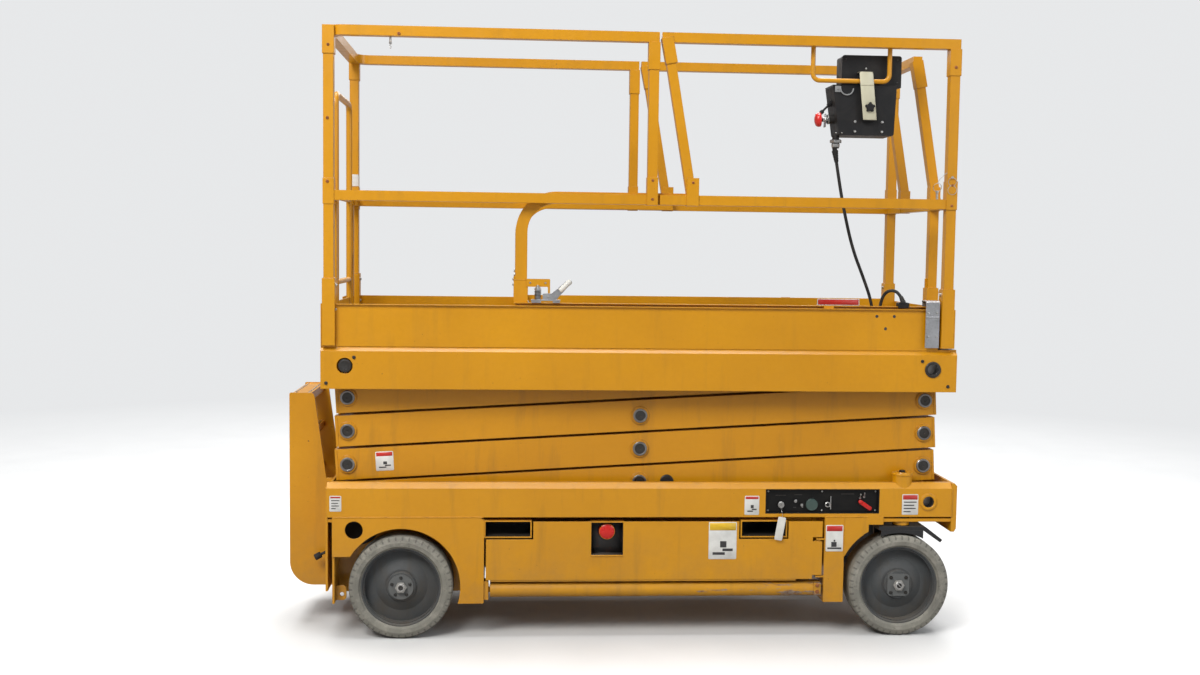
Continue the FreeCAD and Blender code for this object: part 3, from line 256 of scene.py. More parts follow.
@dataclass(frozen=True)
class Paint:
    """Sprayed enamel with mottling, dust, chips along edges and scuffs."""

    name: str
    colour: Colour
    rough: float = 0.36
    dust: float = 0.25
    chips: float = 0.5
    grime: float = 0.3
    rust: Colour = (0.10, 0.035, 0.012)
    edge: float = 0.0026
    low: float = 0.0
    high: float = 0.35
    shine: float = 0.40
    coat: float = 0.30

    def material(self) -> bpy.types.Material:
        """Build the node material."""
        g = Graph(self.name)
        r, gr, b = self.colour
        g.soft_edges(self.edge)
        tone = g.ramp(g.noise(1.7, 5.0), 0.3, 0.7)
        base = g.mix(tone, (r * 0.90, gr * 0.88, b * 0.9), (r * 1.05, gr * 1.06, b * 1.1))
        fleck = g.ramp(g.noise(55.0, 3.0), 0.44, 0.6)
        base = g.mix(g.math("MULTIPLY", fleck, 0.10), base, (r * 0.78, gr * 0.72, b * 0.7))
        streak = g.noise(3.0, 6.0, 0.6, g.stretched((6.0, 6.0, 0.7)))
        streak = g.ramp(streak, 0.54, 0.80)
        grime = g.math("MULTIPLY", streak, self.grime)
        base = g.mix(grime, base, (0.075, 0.052, 0.026))
        low = g.math("MULTIPLY", g.height(self.low, self.high),
                     g.ramp(g.noise(9.0, 6.0, 0.65), 0.35, 0.75))
        base = g.mix(g.math("MULTIPLY", low, 0.55), base, (0.13, 0.105, 0.075))
        dust = g.math("MULTIPLY", g.facing_up(), g.ramp(g.noise(12.0, 5.0), 0.25, 0.8))
        dust = g.math("MULTIPLY", dust, self.dust)
        base = g.mix(dust, base, (0.26, 0.22, 0.16))
        worn = g.math("MULTIPLY", g.worn_edges(0.0035), g.ramp(g.noise(38.0, 5.0, 0.7), 0.50, 0.66))
        spots = g.ramp(g.noise(95.0, 2.0, 0.5), 0.735, 0.765)
        spots = g.math("MULTIPLY", spots, g.ramp(g.noise(4.0, 2.0), 0.5, 0.62))
        chip = g.math("MULTIPLY", g.math("MAXIMUM", worn, spots), self.chips)
        base = g.mix(chip, base, self.rust)
        rough = g.ramp(g.noise(22.0, 6.0, 0.7), 0.25, 0.8, self.rough - 0.07, self.rough + 0.13)
        rough = g.math("ADD", rough, g.math("MULTIPLY", g.math("MAXIMUM", dust, chip), 0.35))
        g.bump(g.noise(420.0, 2.0, 0.5), 0.00012, 0.5)
        g.bump(g.noise(9.0, 3.0, 0.5), 0.0012, 0.35)
        base, rough = self.over(g, base, rough)
        return g.close(base, rough, specular_ior_level=self.shine, coat_weight=self.coat,
                       coat_roughness=0.14)

    def over(self, g: Graph, base: bpy.types.NodeSocket, rough: bpy.types.NodeSocket
             ) -> tuple[bpy.types.NodeSocket, bpy.types.NodeSocket]:
        """What lies on top of the paint: nothing on a plain coat."""
        return base, rough


@dataclass(frozen=True)
class TreadPaint(Paint):
    """Paint that turns into worn grey tread plate on the walking surface."""

    deck: Flat = (1.076, 1.096)
    pitch: float = 0.034
    tread: Colour = (0.155, 0.160, 0.158)

    def over(self, g: Graph, base: bpy.types.NodeSocket, rough: bpy.types.NodeSocket
             ) -> tuple[bpy.types.NodeSocket, bpy.types.NodeSocket]:
        """Lay the raised lozenges and the worn grey coat over the deck."""
        x, y, z = g.axes()
        mask = g.math("MULTIPLY", g.within(z, *self.deck), g.facing_up(0.9, 0.97))
        along = g.sums("DIVIDE", g.sums("ADD", x, y), self.pitch)
        cross = g.sums("DIVIDE", g.sums("SUBTRACT", x, y), self.pitch)
        a = g.sums("SUBTRACT", g.sums("FRACT", along), 0.5)
        b = g.sums("SUBTRACT", g.sums("FRACT", cross), 0.5)
        cell = g.sums("ADD", g.sums("FLOOR", along), g.sums("FLOOR", cross))
        odd = g.sums("PINGPONG", cell, 1.0)
        plus, minus = g.sums("ADD", a, b), g.sums("SUBTRACT", a, b)
        far = g.sums("ADD", g.sums("MULTIPLY", plus, odd),
                     g.sums("MULTIPLY", minus, g.sums("SUBTRACT", 1.0, odd)))
        near = g.sums("ADD", g.sums("MULTIPLY", minus, odd),
                      g.sums("MULTIPLY", plus, g.sums("SUBTRACT", 1.0, odd)))
        size = g.sums("ADD", g.sums("POWER", g.sums("MULTIPLY", far, 1.25), 2.0),
                      g.sums("POWER", g.sums("MULTIPLY", near, 4.6), 2.0))
        bar = g.math("MULTIPLY", g.ramp(size, 0.42, 0.20), mask)
        g.bump(bar, 0.0018, 0.9)
        wear = g.math("MULTIPLY", bar, g.ramp(g.noise(5.0, 5.0, 0.6), 0.35, 0.7))
        grey = g.mix(g.ramp(g.noise(6.0, 6.0, 0.6), 0.35, 0.7), self.tread, (0.10, 0.095, 0.085))
        grey = g.mix(g.math("MULTIPLY", wear, 0.75), grey, (0.42, 0.41, 0.39))
        rough = g.math("ADD", rough, g.math("MULTIPLY", mask, 0.22))
        return g.mix(mask, base, grey), rough


@dataclass(frozen=True)
class PocketShadePaint(Paint):
    """Paint with painted shade, near black, inside the fork pockets and the tie-down holes."""

    pockets: Flat = (-0.4295, 0.523)
    half: float = 0.0832
    pocket_z: Flat = (0.3772, 0.4338)
    hole: Flat = (-0.991, 0.403)
    hole_r: float = 0.0332
    deep_r: float = 0.085
    deep_face: float = 0.376
    face: float = 0.3872

    def over(self, g: Graph, base: bpy.types.NodeSocket, rough: bpy.types.NodeSocket
             ) -> tuple[bpy.types.NodeSocket, bpy.types.NodeSocket]:
        """Paint near-black shade on what lies inside the openings, behind the outer faces."""
        x, y, z = g.axes()
        deep = g.within(y, -self.face, self.face, 0.0012)
        slots = [g.within(x, c - self.half, c + self.half, 0.0002) for c in self.pockets]
        pocket = g.math("MULTIPLY", g.math("MAXIMUM", *slots),
                        g.within(z, *self.pocket_z, 0.0002))
        right, up = (g.sums("SUBTRACT", v, c) for v, c in zip((x, z), self.hole))
        square = g.sums("ADD", g.sums("POWER", right, 2.0), g.sums("POWER", up, 2.0))
        bore = g.within(square, -1.0, self.hole_r ** 2, 0.00001)
        behind = g.math("MULTIPLY", g.within(square, -1.0, self.deep_r ** 2, 0.00001),
                        g.within(y, -self.deep_face, self.deep_face, 0.0012))
        # painted shade: the insides of the fork pockets and tie-down holes are coloured near black
        dark = g.math("MULTIPLY", g.math("MAXIMUM", pocket, g.math("MAXIMUM", bore, behind)),
                      deep)
        return g.mix(dark, base, (0.020, 0.015, 0.010)), g.math("ADD", rough,
                                                               g.math("MULTIPLY", dark, 0.4))


@dataclass(frozen=True)
class HubPaint(Paint):
    """Wheel paint that is paler on the hub plate and bare on the axle nut."""

    axle: Flat = (0.0, 0.1905)
    hub_r: float = 0.056
    hub_face: float = 0.3852
    nut_r: float = 0.0225
    nut_face: float = 0.3912

    def over(self, g: Graph, base: bpy.types.NodeSocket, rough: bpy.types.NodeSocket
             ) -> tuple[bpy.types.NodeSocket, bpy.types.NodeSocket]:
        """Lay the paler plate and the worn nut over the coat."""
        x, y, z = g.axes()
        right, up = (g.sums("SUBTRACT", v, c) for v, c in zip((x, z), self.axle))
        square = g.sums("ADD", g.sums("POWER", right, 2.0), g.sums("POWER", up, 2.0))
        out = g.sums("ABSOLUTE", y)
        plate = g.math("MULTIPLY", g.within(square, -1.0, self.hub_r ** 2, 0.00001),
                       g.within(out, self.hub_face, 1.0))
        nut = g.math("MULTIPLY", g.within(square, -1.0, self.nut_r ** 2, 0.00001),
                     g.within(out, self.nut_face, 1.0))
        base = g.mix(g.math("MULTIPLY", plate, 0.75), base, (0.135, 0.140, 0.138))
        return g.mix(nut, base, (0.30, 0.29, 0.27)), rough


@dataclass(frozen=True)
class BarePaint(Paint):
    """Paint scraped to rusty steel towards one end, as on a low guard bar."""

    from_x: float = -0.2
    to_x: float = 0.75

    def over(self, g: Graph, base: bpy.types.NodeSocket, rough: bpy.types.NodeSocket
             ) -> tuple[bpy.types.NodeSocket, bpy.types.NodeSocket]:
        """Lay long scrapes and rust over the coat."""
        x, _, _ = g.axes()
        toward = g.ramp(x, self.from_x, self.to_x, 0.12, 0.62)
        scrape = g.noise(5.0, 8.0, 0.72, g.stretched((1.0, 5.0, 5.0)))
        worn = g.ramp(g.math("ADD", g.sums("MULTIPLY", toward, 0.42), scrape), 0.74, 0.80)
        steel = g.mix(g.ramp(g.noise(70.0, 5.0, 0.7), 0.35, 0.65), (0.17, 0.075, 0.030),
                      (0.30, 0.255, 0.21))
        g.bump(worn, 0.0003, -0.6)
        return g.mix(worn, base, steel), g.math("ADD", rough, g.math("MULTIPLY", worn, 0.2))


@dataclass(frozen=True)
class Rubber:
    """Solid rubber, dusty on the tread, scuffed on the walls."""

    name: str
    colour: Colour
    dust: Colour = (0.36, 0.34, 0.29)
    grain: float = 260.0
    axle: Optional[Flat] = None
    notches: int = 46

    def material(self) -> bpy.types.Material:
        """Build the node material."""
        g = Graph(self.name)
        r, gr, b = self.colour
        g.soft_edges(0.0015)
        tone = g.ramp(g.noise(7.0, 6.0, 0.6), 0.3, 0.72)
        base = g.mix(tone, (r * 0.74, gr * 0.74, b * 0.75), (r * 1.12, gr * 1.12, b * 1.1))
        dirt = g.ramp(g.noise(26.0, 8.0, 0.7), 0.48, 0.68)
        base = g.mix(g.math("MULTIPLY", dirt, 0.6), base, self.dust)
        marks = g.ramp(g.noise(60.0, 4.0, 0.6, g.stretched((1.0, 0.25, 1.0))), 0.60, 0.70)
        base = g.mix(g.math("MULTIPLY", marks, 0.5), base, (r * 0.35, gr * 0.33, b * 0.32))
        rough = g.ramp(g.noise(30.0, 5.0), 0.3, 0.75, 0.68, 0.93)
        if self.axle is not None:
            x, _, z = g.axes()
            right, up = (g.sums("SUBTRACT", v, c) for v, c in zip((x, z), self.axle))
            turn = g.sums("MULTIPLY", g.sums("ARCTAN2", up, right), float(self.notches))
            radius = g.sums("SQRT", g.sums("ADD", g.sums("POWER", right, 2.0),
                                           g.sums("POWER", up, 2.0)))
            ring = g.within(radius, 0.1755, 0.1885, 0.0016)
            notch = g.math("MULTIPLY", g.ramp(g.sums("SINE", turn), 0.62, 0.80), ring)
            g.bump(notch, 0.0025, -1.0)
            base = g.mix(g.math("MULTIPLY", notch, 0.55), base, (0.05, 0.047, 0.04))
            rib = g.within(radius, 0.1515, 0.1530, 0.0006)
            g.bump(rib, 0.0012, 0.9)
        g.bump(g.noise(self.grain, 4.0, 0.6), 0.0005, 0.6)
        return g.close(base, rough, specular_ior_level=0.35)


@dataclass(frozen=True)
class Plastic:
    """Moulded plastic with a fine grain and handling marks."""

    name: str
    colour: Colour
    rough: float = 0.5
    grain: float = 700.0
    relief: float = 0.00012
    dust: float = 0.25
    shine: float = 0.5

    def material(self) -> bpy.types.Material:
        """Build the node material."""
        g = Graph(self.name)
        r, gr, b = self.colour
        g.soft_edges(0.0012)
        tone = g.ramp(g.noise(14.0, 5.0), 0.3, 0.75)
        base = g.mix(tone, (r * 0.82, gr * 0.82, b * 0.82), (r * 1.2, gr * 1.2, b * 1.2))
        smear = g.ramp(g.noise(8.0, 6.0, 0.65, None, 0.6), 0.45, 0.78)
        dusty = g.math("MULTIPLY", smear, self.dust)
        base = g.mix(dusty, base, (0.20, 0.17, 0.13))
        rough = g.ramp(g.noise(40.0, 4.0), 0.3, 0.75, self.rough - 0.08, self.rough + 0.14)
        rough = g.math("ADD", rough, g.math("MULTIPLY", dusty, 0.4))
        g.bump(g.noise(self.grain, 3.0, 0.6), self.relief, 0.8)
        return g.close(base, rough, specular_ior_level=self.shine)


@dataclass(frozen=True)
class Metal:
    """Bare or plated metal with turned or spangled patterns."""

    name: str
    colour: Colour
    rough: float = 0.32
    spangle: float = 0.0
    grease: float = 0.3
    brush: Point = (1.0, 1.0, 1.0)
    metallic: float = 1.0

    def material(self) -> bpy.types.Material:
        """Build the node material."""
        g = Graph(self.name)
        r, gr, b = self.colour
        g.soft_edges(0.0009)
        base = g.mix(g.ramp(g.noise(18.0, 5.0), 0.3, 0.75), (r * 0.8, gr * 0.8, b * 0.8),
                     (r * 1.1, gr * 1.1, b * 1.12))
        if self.spangle:
            flake = g.ramp(g.cells(self.spangle), 0.1, 0.65)
            base = g.mix(g.math("MULTIPLY", flake, 0.4), base, (r * 1.25, gr * 1.25, b * 1.3))
        oil = g.math("MULTIPLY", g.ramp(g.noise(11.0, 6.0, 0.65), 0.42, 0.72), self.grease)
        base = g.mix(oil, base, (0.045, 0.034, 0.022))
        lines = g.noise(90.0, 5.0, 0.7, g.stretched(self.brush))
        rough = g.ramp(lines, 0.3, 0.7, self.rough - 0.09, self.rough + 0.12)
        rough = g.math("ADD", rough, g.math("MULTIPLY", oil, 0.25))
        g.bump(lines, 0.00008, 0.7)
        return g.close(base, rough, metallic=self.metallic)


@dataclass(frozen=True)
class Concrete:
    """The plain pale studio floor."""

    name: str = "studio_floor"
    bounced: Colour = (0.26, 0.25, 0.24)

    def material(self) -> bpy.types.Material:
        """Build the node material."""
        g = Graph(self.name)
        seen = g.add("ShaderNodeLightPath").outputs["Is Camera Ray"]
        pale = g.mix(g.ramp(g.noise(0.9, 5.0), 0.3, 0.7), (0.60, 0.605, 0.60), (0.66, 0.66, 0.655))
        base = g.mix(seen, self.bounced, pale)
        g.bump(g.noise(60.0, 3.0), 0.0006, 0.3)
        material = g.close(base, g.ramp(g.noise(4.0, 4.0), 0.3, 0.7, 0.55, 0.75))
        x, y, _ = g.axes()
        away = g.sums("SQRT", g.sums("ADD", g.sums("POWER", x, 2.0), g.sums("POWER", y, 2.0)))
        haze = g.add("ShaderNodeEmission")
        haze.inputs["Color"].default_value = (*PALE, 1.0)
        blend = g.add("ShaderNodeMixShader")
        g.link(g.math("MULTIPLY", g.ramp(away, 2.4, 7.5), seen), blend.inputs[0])
        g.link(g.shader.outputs["BSDF"], blend.inputs[1])
        g.link(haze.outputs[0], blend.inputs[2])
        g.link(blend.outputs[0], g.output.inputs["Surface"])
        return material


class Finish(Enum):
    """Every finish on the machine, made on first use."""

    YELLOW = Paint("chrome_yellow_enamel", (0.60, 0.268, 0.0010), 0.34, 0.20, 0.60, 0.16)
    ARM = Paint("arm_yellow_enamel", (0.59, 0.258, 0.0010), 0.38, 0.36, 0.85, 0.34)
    SKIRT = PocketShadePaint("skirt_yellow_enamel", (0.60, 0.268, 0.0010), 0.36, 0.3, 0.85, 0.26,
                      high=0.42)
    DECK = TreadPaint("deck_yellow_enamel", (0.60, 0.268, 0.0010), 0.34, 0.20, 0.60, 0.16)
    GUARD = BarePaint("scraped_yellow_enamel", (0.57, 0.260, 0.0010), 0.42, 0.3, 0.9, 0.35)
    CREAM = Paint("cream_enamel", (0.60, 0.585, 0.42), 0.40, 0.2, 0.6, 0.2)
    RIM = Paint("wheel_grey_enamel", (0.074, 0.081, 0.083), 0.58, 0.40, 0.6, 0.42, high=0.38,
                shine=0.25, coat=0.0)
    RIM_REAR = HubPaint("wheel_grey_rear", (0.074, 0.081, 0.083), 0.58, 0.40, 0.6, 0.42,
                        high=0.38, shine=0.25, coat=0.0, axle=(-0.82, 0.1905))
    RIM_FRONT = HubPaint("wheel_grey_front", (0.074, 0.081, 0.083), 0.58, 0.40, 0.6, 0.42,
                         high=0.38, shine=0.25, coat=0.0, axle=(1.04, 0.1905))
    BLACK = Paint("satin_black_enamel", (0.014, 0.014, 0.015), 0.40, 0.35, 0.5, 0.1)
    TYRE_REAR = Rubber("pale_rubber_rear", (0.215, 0.207, 0.177), axle=(-0.82, 0.1905))
    TYRE_FRONT = Rubber("pale_rubber_front", (0.225, 0.217, 0.186), axle=(1.04, 0.1905))
    GUM = Rubber("black_gum", (0.020, 0.020, 0.021), (0.07, 0.065, 0.055), 500.0)
    BOX = Plastic("grained_black_plastic", (0.010, 0.010, 0.011), 0.46, dust=0.07, shine=0.3)
    PANEL = Plastic("panel_black_film", (0.0045, 0.0047, 0.0050), 0.42, 300.0, 0.00006, 0.04,
                    0.25)
    RED = Plastic("red_plastic", (0.58, 0.014, 0.010), 0.30, 500.0, 0.00005, 0.10)
    GREEN = Plastic("grey_green_plastic", (0.045, 0.085, 0.076), 0.40, 500.0, 0.00005, 0.2)
    IVORY = Plastic("white_plastic", (0.66, 0.65, 0.60), 0.42, 500.0, 0.00006, 0.25)
    GREY = Plastic("grey_plastic", (0.24, 0.25, 0.255), 0.45, 600.0, 0.00008, 0.25)
    TAPE = Plastic("white_tape", (0.70, 0.69, 0.66), 0.55, 90.0, 0.0006, 0.35)
    FILM = Plastic("white_film", (0.68, 0.68, 0.65), 0.36, 240.0, 0.00005, 0.22)
    FILM_YELLOW = Plastic("yellow_film", (0.72, 0.45, 0.02), 0.36, 240.0, 0.00005, 0.2)
    FILM_RED = Plastic("red_film", (0.52, 0.020, 0.014), 0.36, 240.0, 0.00005, 0.18)
    # ink for printed marks; the same dark finish is painted shade in the toe board holes
    INK = Plastic("ink_and_hole_shade", (0.035, 0.035, 0.038), 0.40, 240.0, 0.00004, 0.2)
    PIN = Metal("greased_pin_steel", (0.34, 0.335, 0.33), 0.34, 0.0, 0.55)
    DARK = Metal("blackened_steel", (0.085, 0.083, 0.080), 0.46, 0.0, 0.5)
    ROD = Metal("hard_chromed_steel", (0.72, 0.72, 0.74), 0.12, 0.0, 0.08, (1.0, 1.0, 1.0))
    ZINC = Metal("galvanised_sheet", (0.50, 0.51, 0.52), 0.38, 120.0, 0.22)
    BRIGHT = Metal("bright_zinc_bolts", (0.58, 0.58, 0.56), 0.30, 0.0, 0.25)
    RUSTY = Metal("rusty_bolts", (0.36, 0.135, 0.045), 0.72, 90.0, 0.35, metallic=0.35)

    def get(self) -> bpy.types.Material:
        """The finish's material, made once."""
        found = bpy.data.materials.get(self.value.name)
        return found or self.value.material()


@dataclass
class Smith:
    """A mesh being made from turned, swept, pressed and chamfered shapes.

    Every shape is given in the machine's frame, in metres, and shapes of one
    finish on one body are gathered in one Smith.
    """

    bm: bmesh.types.BMesh = field(default_factory=bmesh.new)

    def skin(self, low: list[bmesh.types.BMVert], high: list[bmesh.types.BMVert]) -> None:
        """Close the wall between two rings, either of which may be a point."""
        n = max(len(low), len(high))
        for k in range(n):
            quad = [low[k % len(low)], low[(k + 1) % len(low)],
                    high[(k + 1) % len(high)], high[k % len(high)]]
            quad = [v for i, v in enumerate(quad) if v not in quad[:i]]
            if len(quad) > 2:
                self.bm.faces.new(quad)

    def turn(self, profile: Sequence[Flat], at: Point, axis: Point, steps: int = 28,
             hollow: bool = False) -> None:
        """Add a turned shape.

        Args:
            profile: Pairs of radius and distance along the axis.
            at: Where the axis starts.
            axis: Its direction.
            steps: Facets round the axis, 6 for a hexagon.
            hollow: Whether the profile closes on itself round an open bore.
        """
        basis = Vector(axis).to_track_quat("Z", "Y").to_matrix()
        rings: list[list[bmesh.types.BMVert]] = []
        for radius, rise in profile:
            count = steps if radius > 1e-6 else 1
            rings.append([self.bm.verts.new(Vector(at) + basis @ Vector((
                radius * math.cos(math.tau * k / steps),
                radius * math.sin(math.tau * k / steps), rise))) for k in range(count)])
        for low, high in zip(rings, rings[1:]):
            self.skin(low, high)
        if hollow:
            self.skin(rings[-1], rings[0])
            return
        for ring in (rings[0], rings[-1]):
            if len(ring) > 2:
                self.bm.faces.new(ring)

    def bolt(self, at: Point, axis: Point, size: float, washer: bool = True) -> None:
        """Add a hexagon bolt head of that shank size on a washer, its thread end bare."""
        rise = 0.0
        if washer:
            r = size * 1.12
            self.turn(((r, 0.0), (r, size * 0.14), (r * 0.94, size * 0.2), (0.0, size * 0.2)),
                      at, axis, 20)
            rise = size * 0.18
        r = size * 0.92
        self.turn(((r, rise), (r, rise + size * 0.5), (r * 0.86, rise + size * 0.64),
                   (0.0, rise + size * 0.64)), at, axis, 6)

    def screw(self, at: Point, axis: Point, size: float) -> None:
        """Add a domed screw head with a sunk drive."""
        self.turn(((size, 0.0), (size, size * 0.18), (size * 0.8, size * 0.5),
                   (size * 0.42, size * 0.62), (size * 0.36, size * 0.3), (0.0, size * 0.3)),
                  at, axis, 18)

    def sweep(self, points: Iterable[Point], radius: float, sides: int = 10,
              closed: bool = False, ripple: float = 0.0) -> None:
        """Add a round bar along points.

        Args:
            points: The middle line.
            radius: Its radius.
            sides: Facets round it.
            closed: Whether the line runs back to its start.
            ripple: Share by which every other ring swells, as in a weld bead.
        """
        line = [Vector(p) for p in points]
        n = len(line)
        side = Vector((0.0, 0.0, 1.0))
        rings: list[list[bmesh.types.BMVert]] = []
        for i, p in enumerate(line):
            a = line[i - 1] if (i or closed) else p
            b = line[(i + 1) % n] if (i < n - 1 or closed) else p
            along = (b - a).normalized()
            if abs(along.dot(side)) > 0.98:
                side = Vector((1.0, 0.0, 0.0)) if abs(along.x) < 0.9 else Vector((0.0, 1.0, 0.0))
            side = (side - along * along.dot(side)).normalized()
            up = along.cross(side)
            r = radius * (1.0 + (ripple if i % 2 else -ripple))
            rings.append([self.bm.verts.new(p + (side * math.cos(math.tau * k / sides)
                                                 + up * math.sin(math.tau * k / sides)) * r)
                          for k in range(sides)])
        for low, high in zip(rings, rings[1:]):
            self.skin(low, high)
        if closed:
            self.skin(rings[-1], rings[0])
        else:
            self.bm.faces.new(rings[0])
            self.bm.faces.new(rings[-1])

    def bead(self, a: Point, b: Point, radius: float = 0.0022) -> None:
        """Add a rippled weld bead from a to b."""
        start, end = Vector(a), Vector(b)
        n = max(4, int((end - start).length / 0.0032))
        self.sweep([tuple(start.lerp(end, k / n)) for k in range(n + 1)], radius, 7,
                   ripple=0.14)

    def ring(self, at: Point, axis: Point, big: float, small: float, steps: int = 40,
             ripple: float = 0.0, arc: Flat = (0.0, 360.0)) -> None:
        """Add a round ring of radius big and bar radius small about an axis."""
        basis = Vector(axis).to_track_quat("Z", "Y").to_matrix()
        whole = arc[1] - arc[0] >= 360.0
        spots = [math.radians(arc[0] + (arc[1] - arc[0]) * k / steps)
                 for k in range(steps if whole else steps + 1)]
        self.sweep([tuple(Vector(at) + basis @ Vector((big * math.cos(t), big * math.sin(t), 0.0)))
                    for t in spots], small, 8, whole, ripple)

    def press(self, outline: Sequence[Flat], at: Point, across: Point, up: Point,
              thick: float, chamfer: float = 0.0) -> None:
        """Add a plate pressed from an outline.

        Args:
            outline: Corners as distances along across and up.
            at: The outline's origin, on the back face.
            across: Direction of the first distance.
            up: Direction of the second.
            thick: Thickness along across x up.
            chamfer: Width of the rounded rim.
        """
        u, v = Vector(across).normalized(), Vector(up).normalized()
        w = u.cross(v) * thick
        back = [self.bm.verts.new(Vector(at) + u * a + v * b) for a, b in outline]
        front = [self.bm.verts.new(p.co + w) for p in back]
        self.skin(back, front)
        rim = self.bm.faces.new(front)
        self.bm.faces.new(list(reversed(back)))
        if chamfer:
            bmesh.ops.bevel(self.bm, geom=list(rim.edges), offset=chamfer, segments=2,
                            affect="EDGES", profile=0.5, clamp_overlap=True)

    def block(self, low: Point, high: Point, chamfer: float = 0.0012) -> None:
        """Add a block between two corners with rounded edges."""
        (x0, y0, z0), (x1, y1, z1) = low, high
        c = min(chamfer, 0.3 * min(x1 - x0, y1 - y0, z1 - z0))
        corners = [self.bm.verts.new((x, y, z)) for x in (x0, x1) for y in (y0, y1)
                   for z in (z0, z1)]
        faces = [self.bm.faces.new([corners[i] for i in four]) for four in
                 ((0, 1, 3, 2), (4, 6, 7, 5), (0, 4, 5, 1), (2, 3, 7, 6), (0, 2, 6, 4),
                  (1, 5, 7, 3))]
        edges = list({e for f in faces for e in f.edges})
        bmesh.ops.bevel(self.bm, geom=edges, offset=c, segments=2, affect="EDGES",
                        profile=0.5, clamp_overlap=True)

    def done(self, name: str, finish: Finish, body: str) -> bpy.types.Object:
        """Finish the mesh.

        Args:
            name: The piece's name.
            finish: Its finish.
            body: The body it rides on.

        Returns:
            The piece, placed and riding.
        """
        bmesh.ops.recalc_face_normals(self.bm, faces=self.bm.faces)
        for face in self.bm.faces:
            face.smooth = True
        for edge in self.bm.edges:
            edge.smooth = len(edge.link_faces) == 2 and edge.calc_face_angle(0.0) < 0.6
        mesh = bpy.data.meshes.new(name)
        self.bm.to_mesh(mesh)
        self.bm.free()
        mesh.materials.append(finish.get())
        piece = bpy.data.objects.new(name, mesh)
        bpy.context.scene.collection.objects.link(piece)
        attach(piece, body)
        LOG.info("piece %s on %s, %d faces", name, body, len(mesh.polygons))
        return piece


def rounded(width: float, height: float, radius: float, steps: int = 4) -> list[Flat]:
    """Corners of a rectangle with rounded corners, about its middle."""
    out: list[Flat] = []
    for k, (sx, sy) in enumerate(((1, 1), (-1, 1), (-1, -1), (1, -1))):
        cx, cy = sx * (width / 2 - radius), sy * (height / 2 - radius)
        for i in range(steps + 1):
            t = math.radians(90.0 * k + 90.0 * i / steps)
            out.append((cx + radius * math.cos(t), cy + radius * math.sin(t)))
    return out


def sided(side: int) -> str:
    """near for the -Y side, far for the +Y side."""
    return "near" if side < 0 else "far"


@dataclass
class Dressing:
    """Gives every solid that is shown its finish."""

    finishes: dict[str, Finish] = field(default_factory=lambda: {
        "chassis_frame": Finish.SKIRT, "base_pin": Finish.PIN, "rear_skirts": Finish.SKIRT,
        "ladder": Finish.SKIRT, "ground_controls": Finish.PANEL, "rear_drive": Finish.BLACK,
        "knuckle_near": Finish.BLACK, "knuckle_far": Finish.BLACK,
        "cylinder_barrel": Finish.BLACK, "cylinder_rod": Finish.ROD,
        "platform_frame": Finish.DECK, "platform_pin": Finish.PIN,
        "fixed_rails": Finish.YELLOW, "gate": Finish.YELLOW,
        "extension_deck": Finish.DECK, "extension_rails": Finish.YELLOW,
        "control_box": Finish.BOX, "control_hanger": Finish.YELLOW,
        "tray_near": Finish.SKIRT, "tray_far": Finish.SKIRT,
        "battery_block": Finish.BOX, "power_unit": Finish.BLACK,
        "guard_near": Finish.GUARD, "guard_far": Finish.GUARD,
        "rear_lever": Finish.GUM, "deck_latch": Finish.ZINC, "toe_strap": Finish.ZINC,
        "control_cable": Finish.GUM, "cable_plug": Finish.BOX,
    })

    def apply(self) -> None:
        """Assign the finishes to the frame's solids."""
        for name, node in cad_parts.items():
            if name in self.finishes:
                finish = self.finishes[name]
            elif name.startswith("tyre"):
                finish = Finish.TYRE_FRONT if "front" in name else Finish.TYRE_REAR
            elif name.startswith("rim"):
                finish = Finish.RIM_FRONT if "front" in name else Finish.RIM_REAR
            else:
                finish = Finish.ARM
            node.data.materials.clear()
            node.data.materials.append(finish.get())


@dataclass(frozen=True)
class Linkage:
    """Where the pins of the stowed scissor stack are."""

    arm: float = 2.172
    pitch: float = 0.12475
    pin_x: float = 1.145
    pin_z: float = 0.507
    levels: int = 4

    def slide_x(self) -> float:
        """X of the sliding pins."""
        return self.pin_x - math.sqrt(self.arm ** 2 - self.pitch ** 2)

    def heads(self, level: int) -> list[Flat]:
        """(x, z) of the headed pins that a level's outer arms carry."""
        low = self.pin_z + (level - 1) * self.pitch
        out = [((self.pin_x + self.slide_x()) / 2.0, low + self.pitch / 2.0)]
        if level < self.levels:
            out.append((self.pin_x, low + self.pitch))
        if level > 1:
            out.append((self.slide_x(), low))
        return out

    def on_inner(self, level: int, from_right: float) -> Flat:
        """(x, z) at a distance from the right pin along a level's inner arm."""
        low = self.pin_z + (level - 1) * self.pitch
        share = from_right / self.arm
        return (self.pin_x + (self.slide_x() - self.pin_x) * share, low + self.pitch * share)


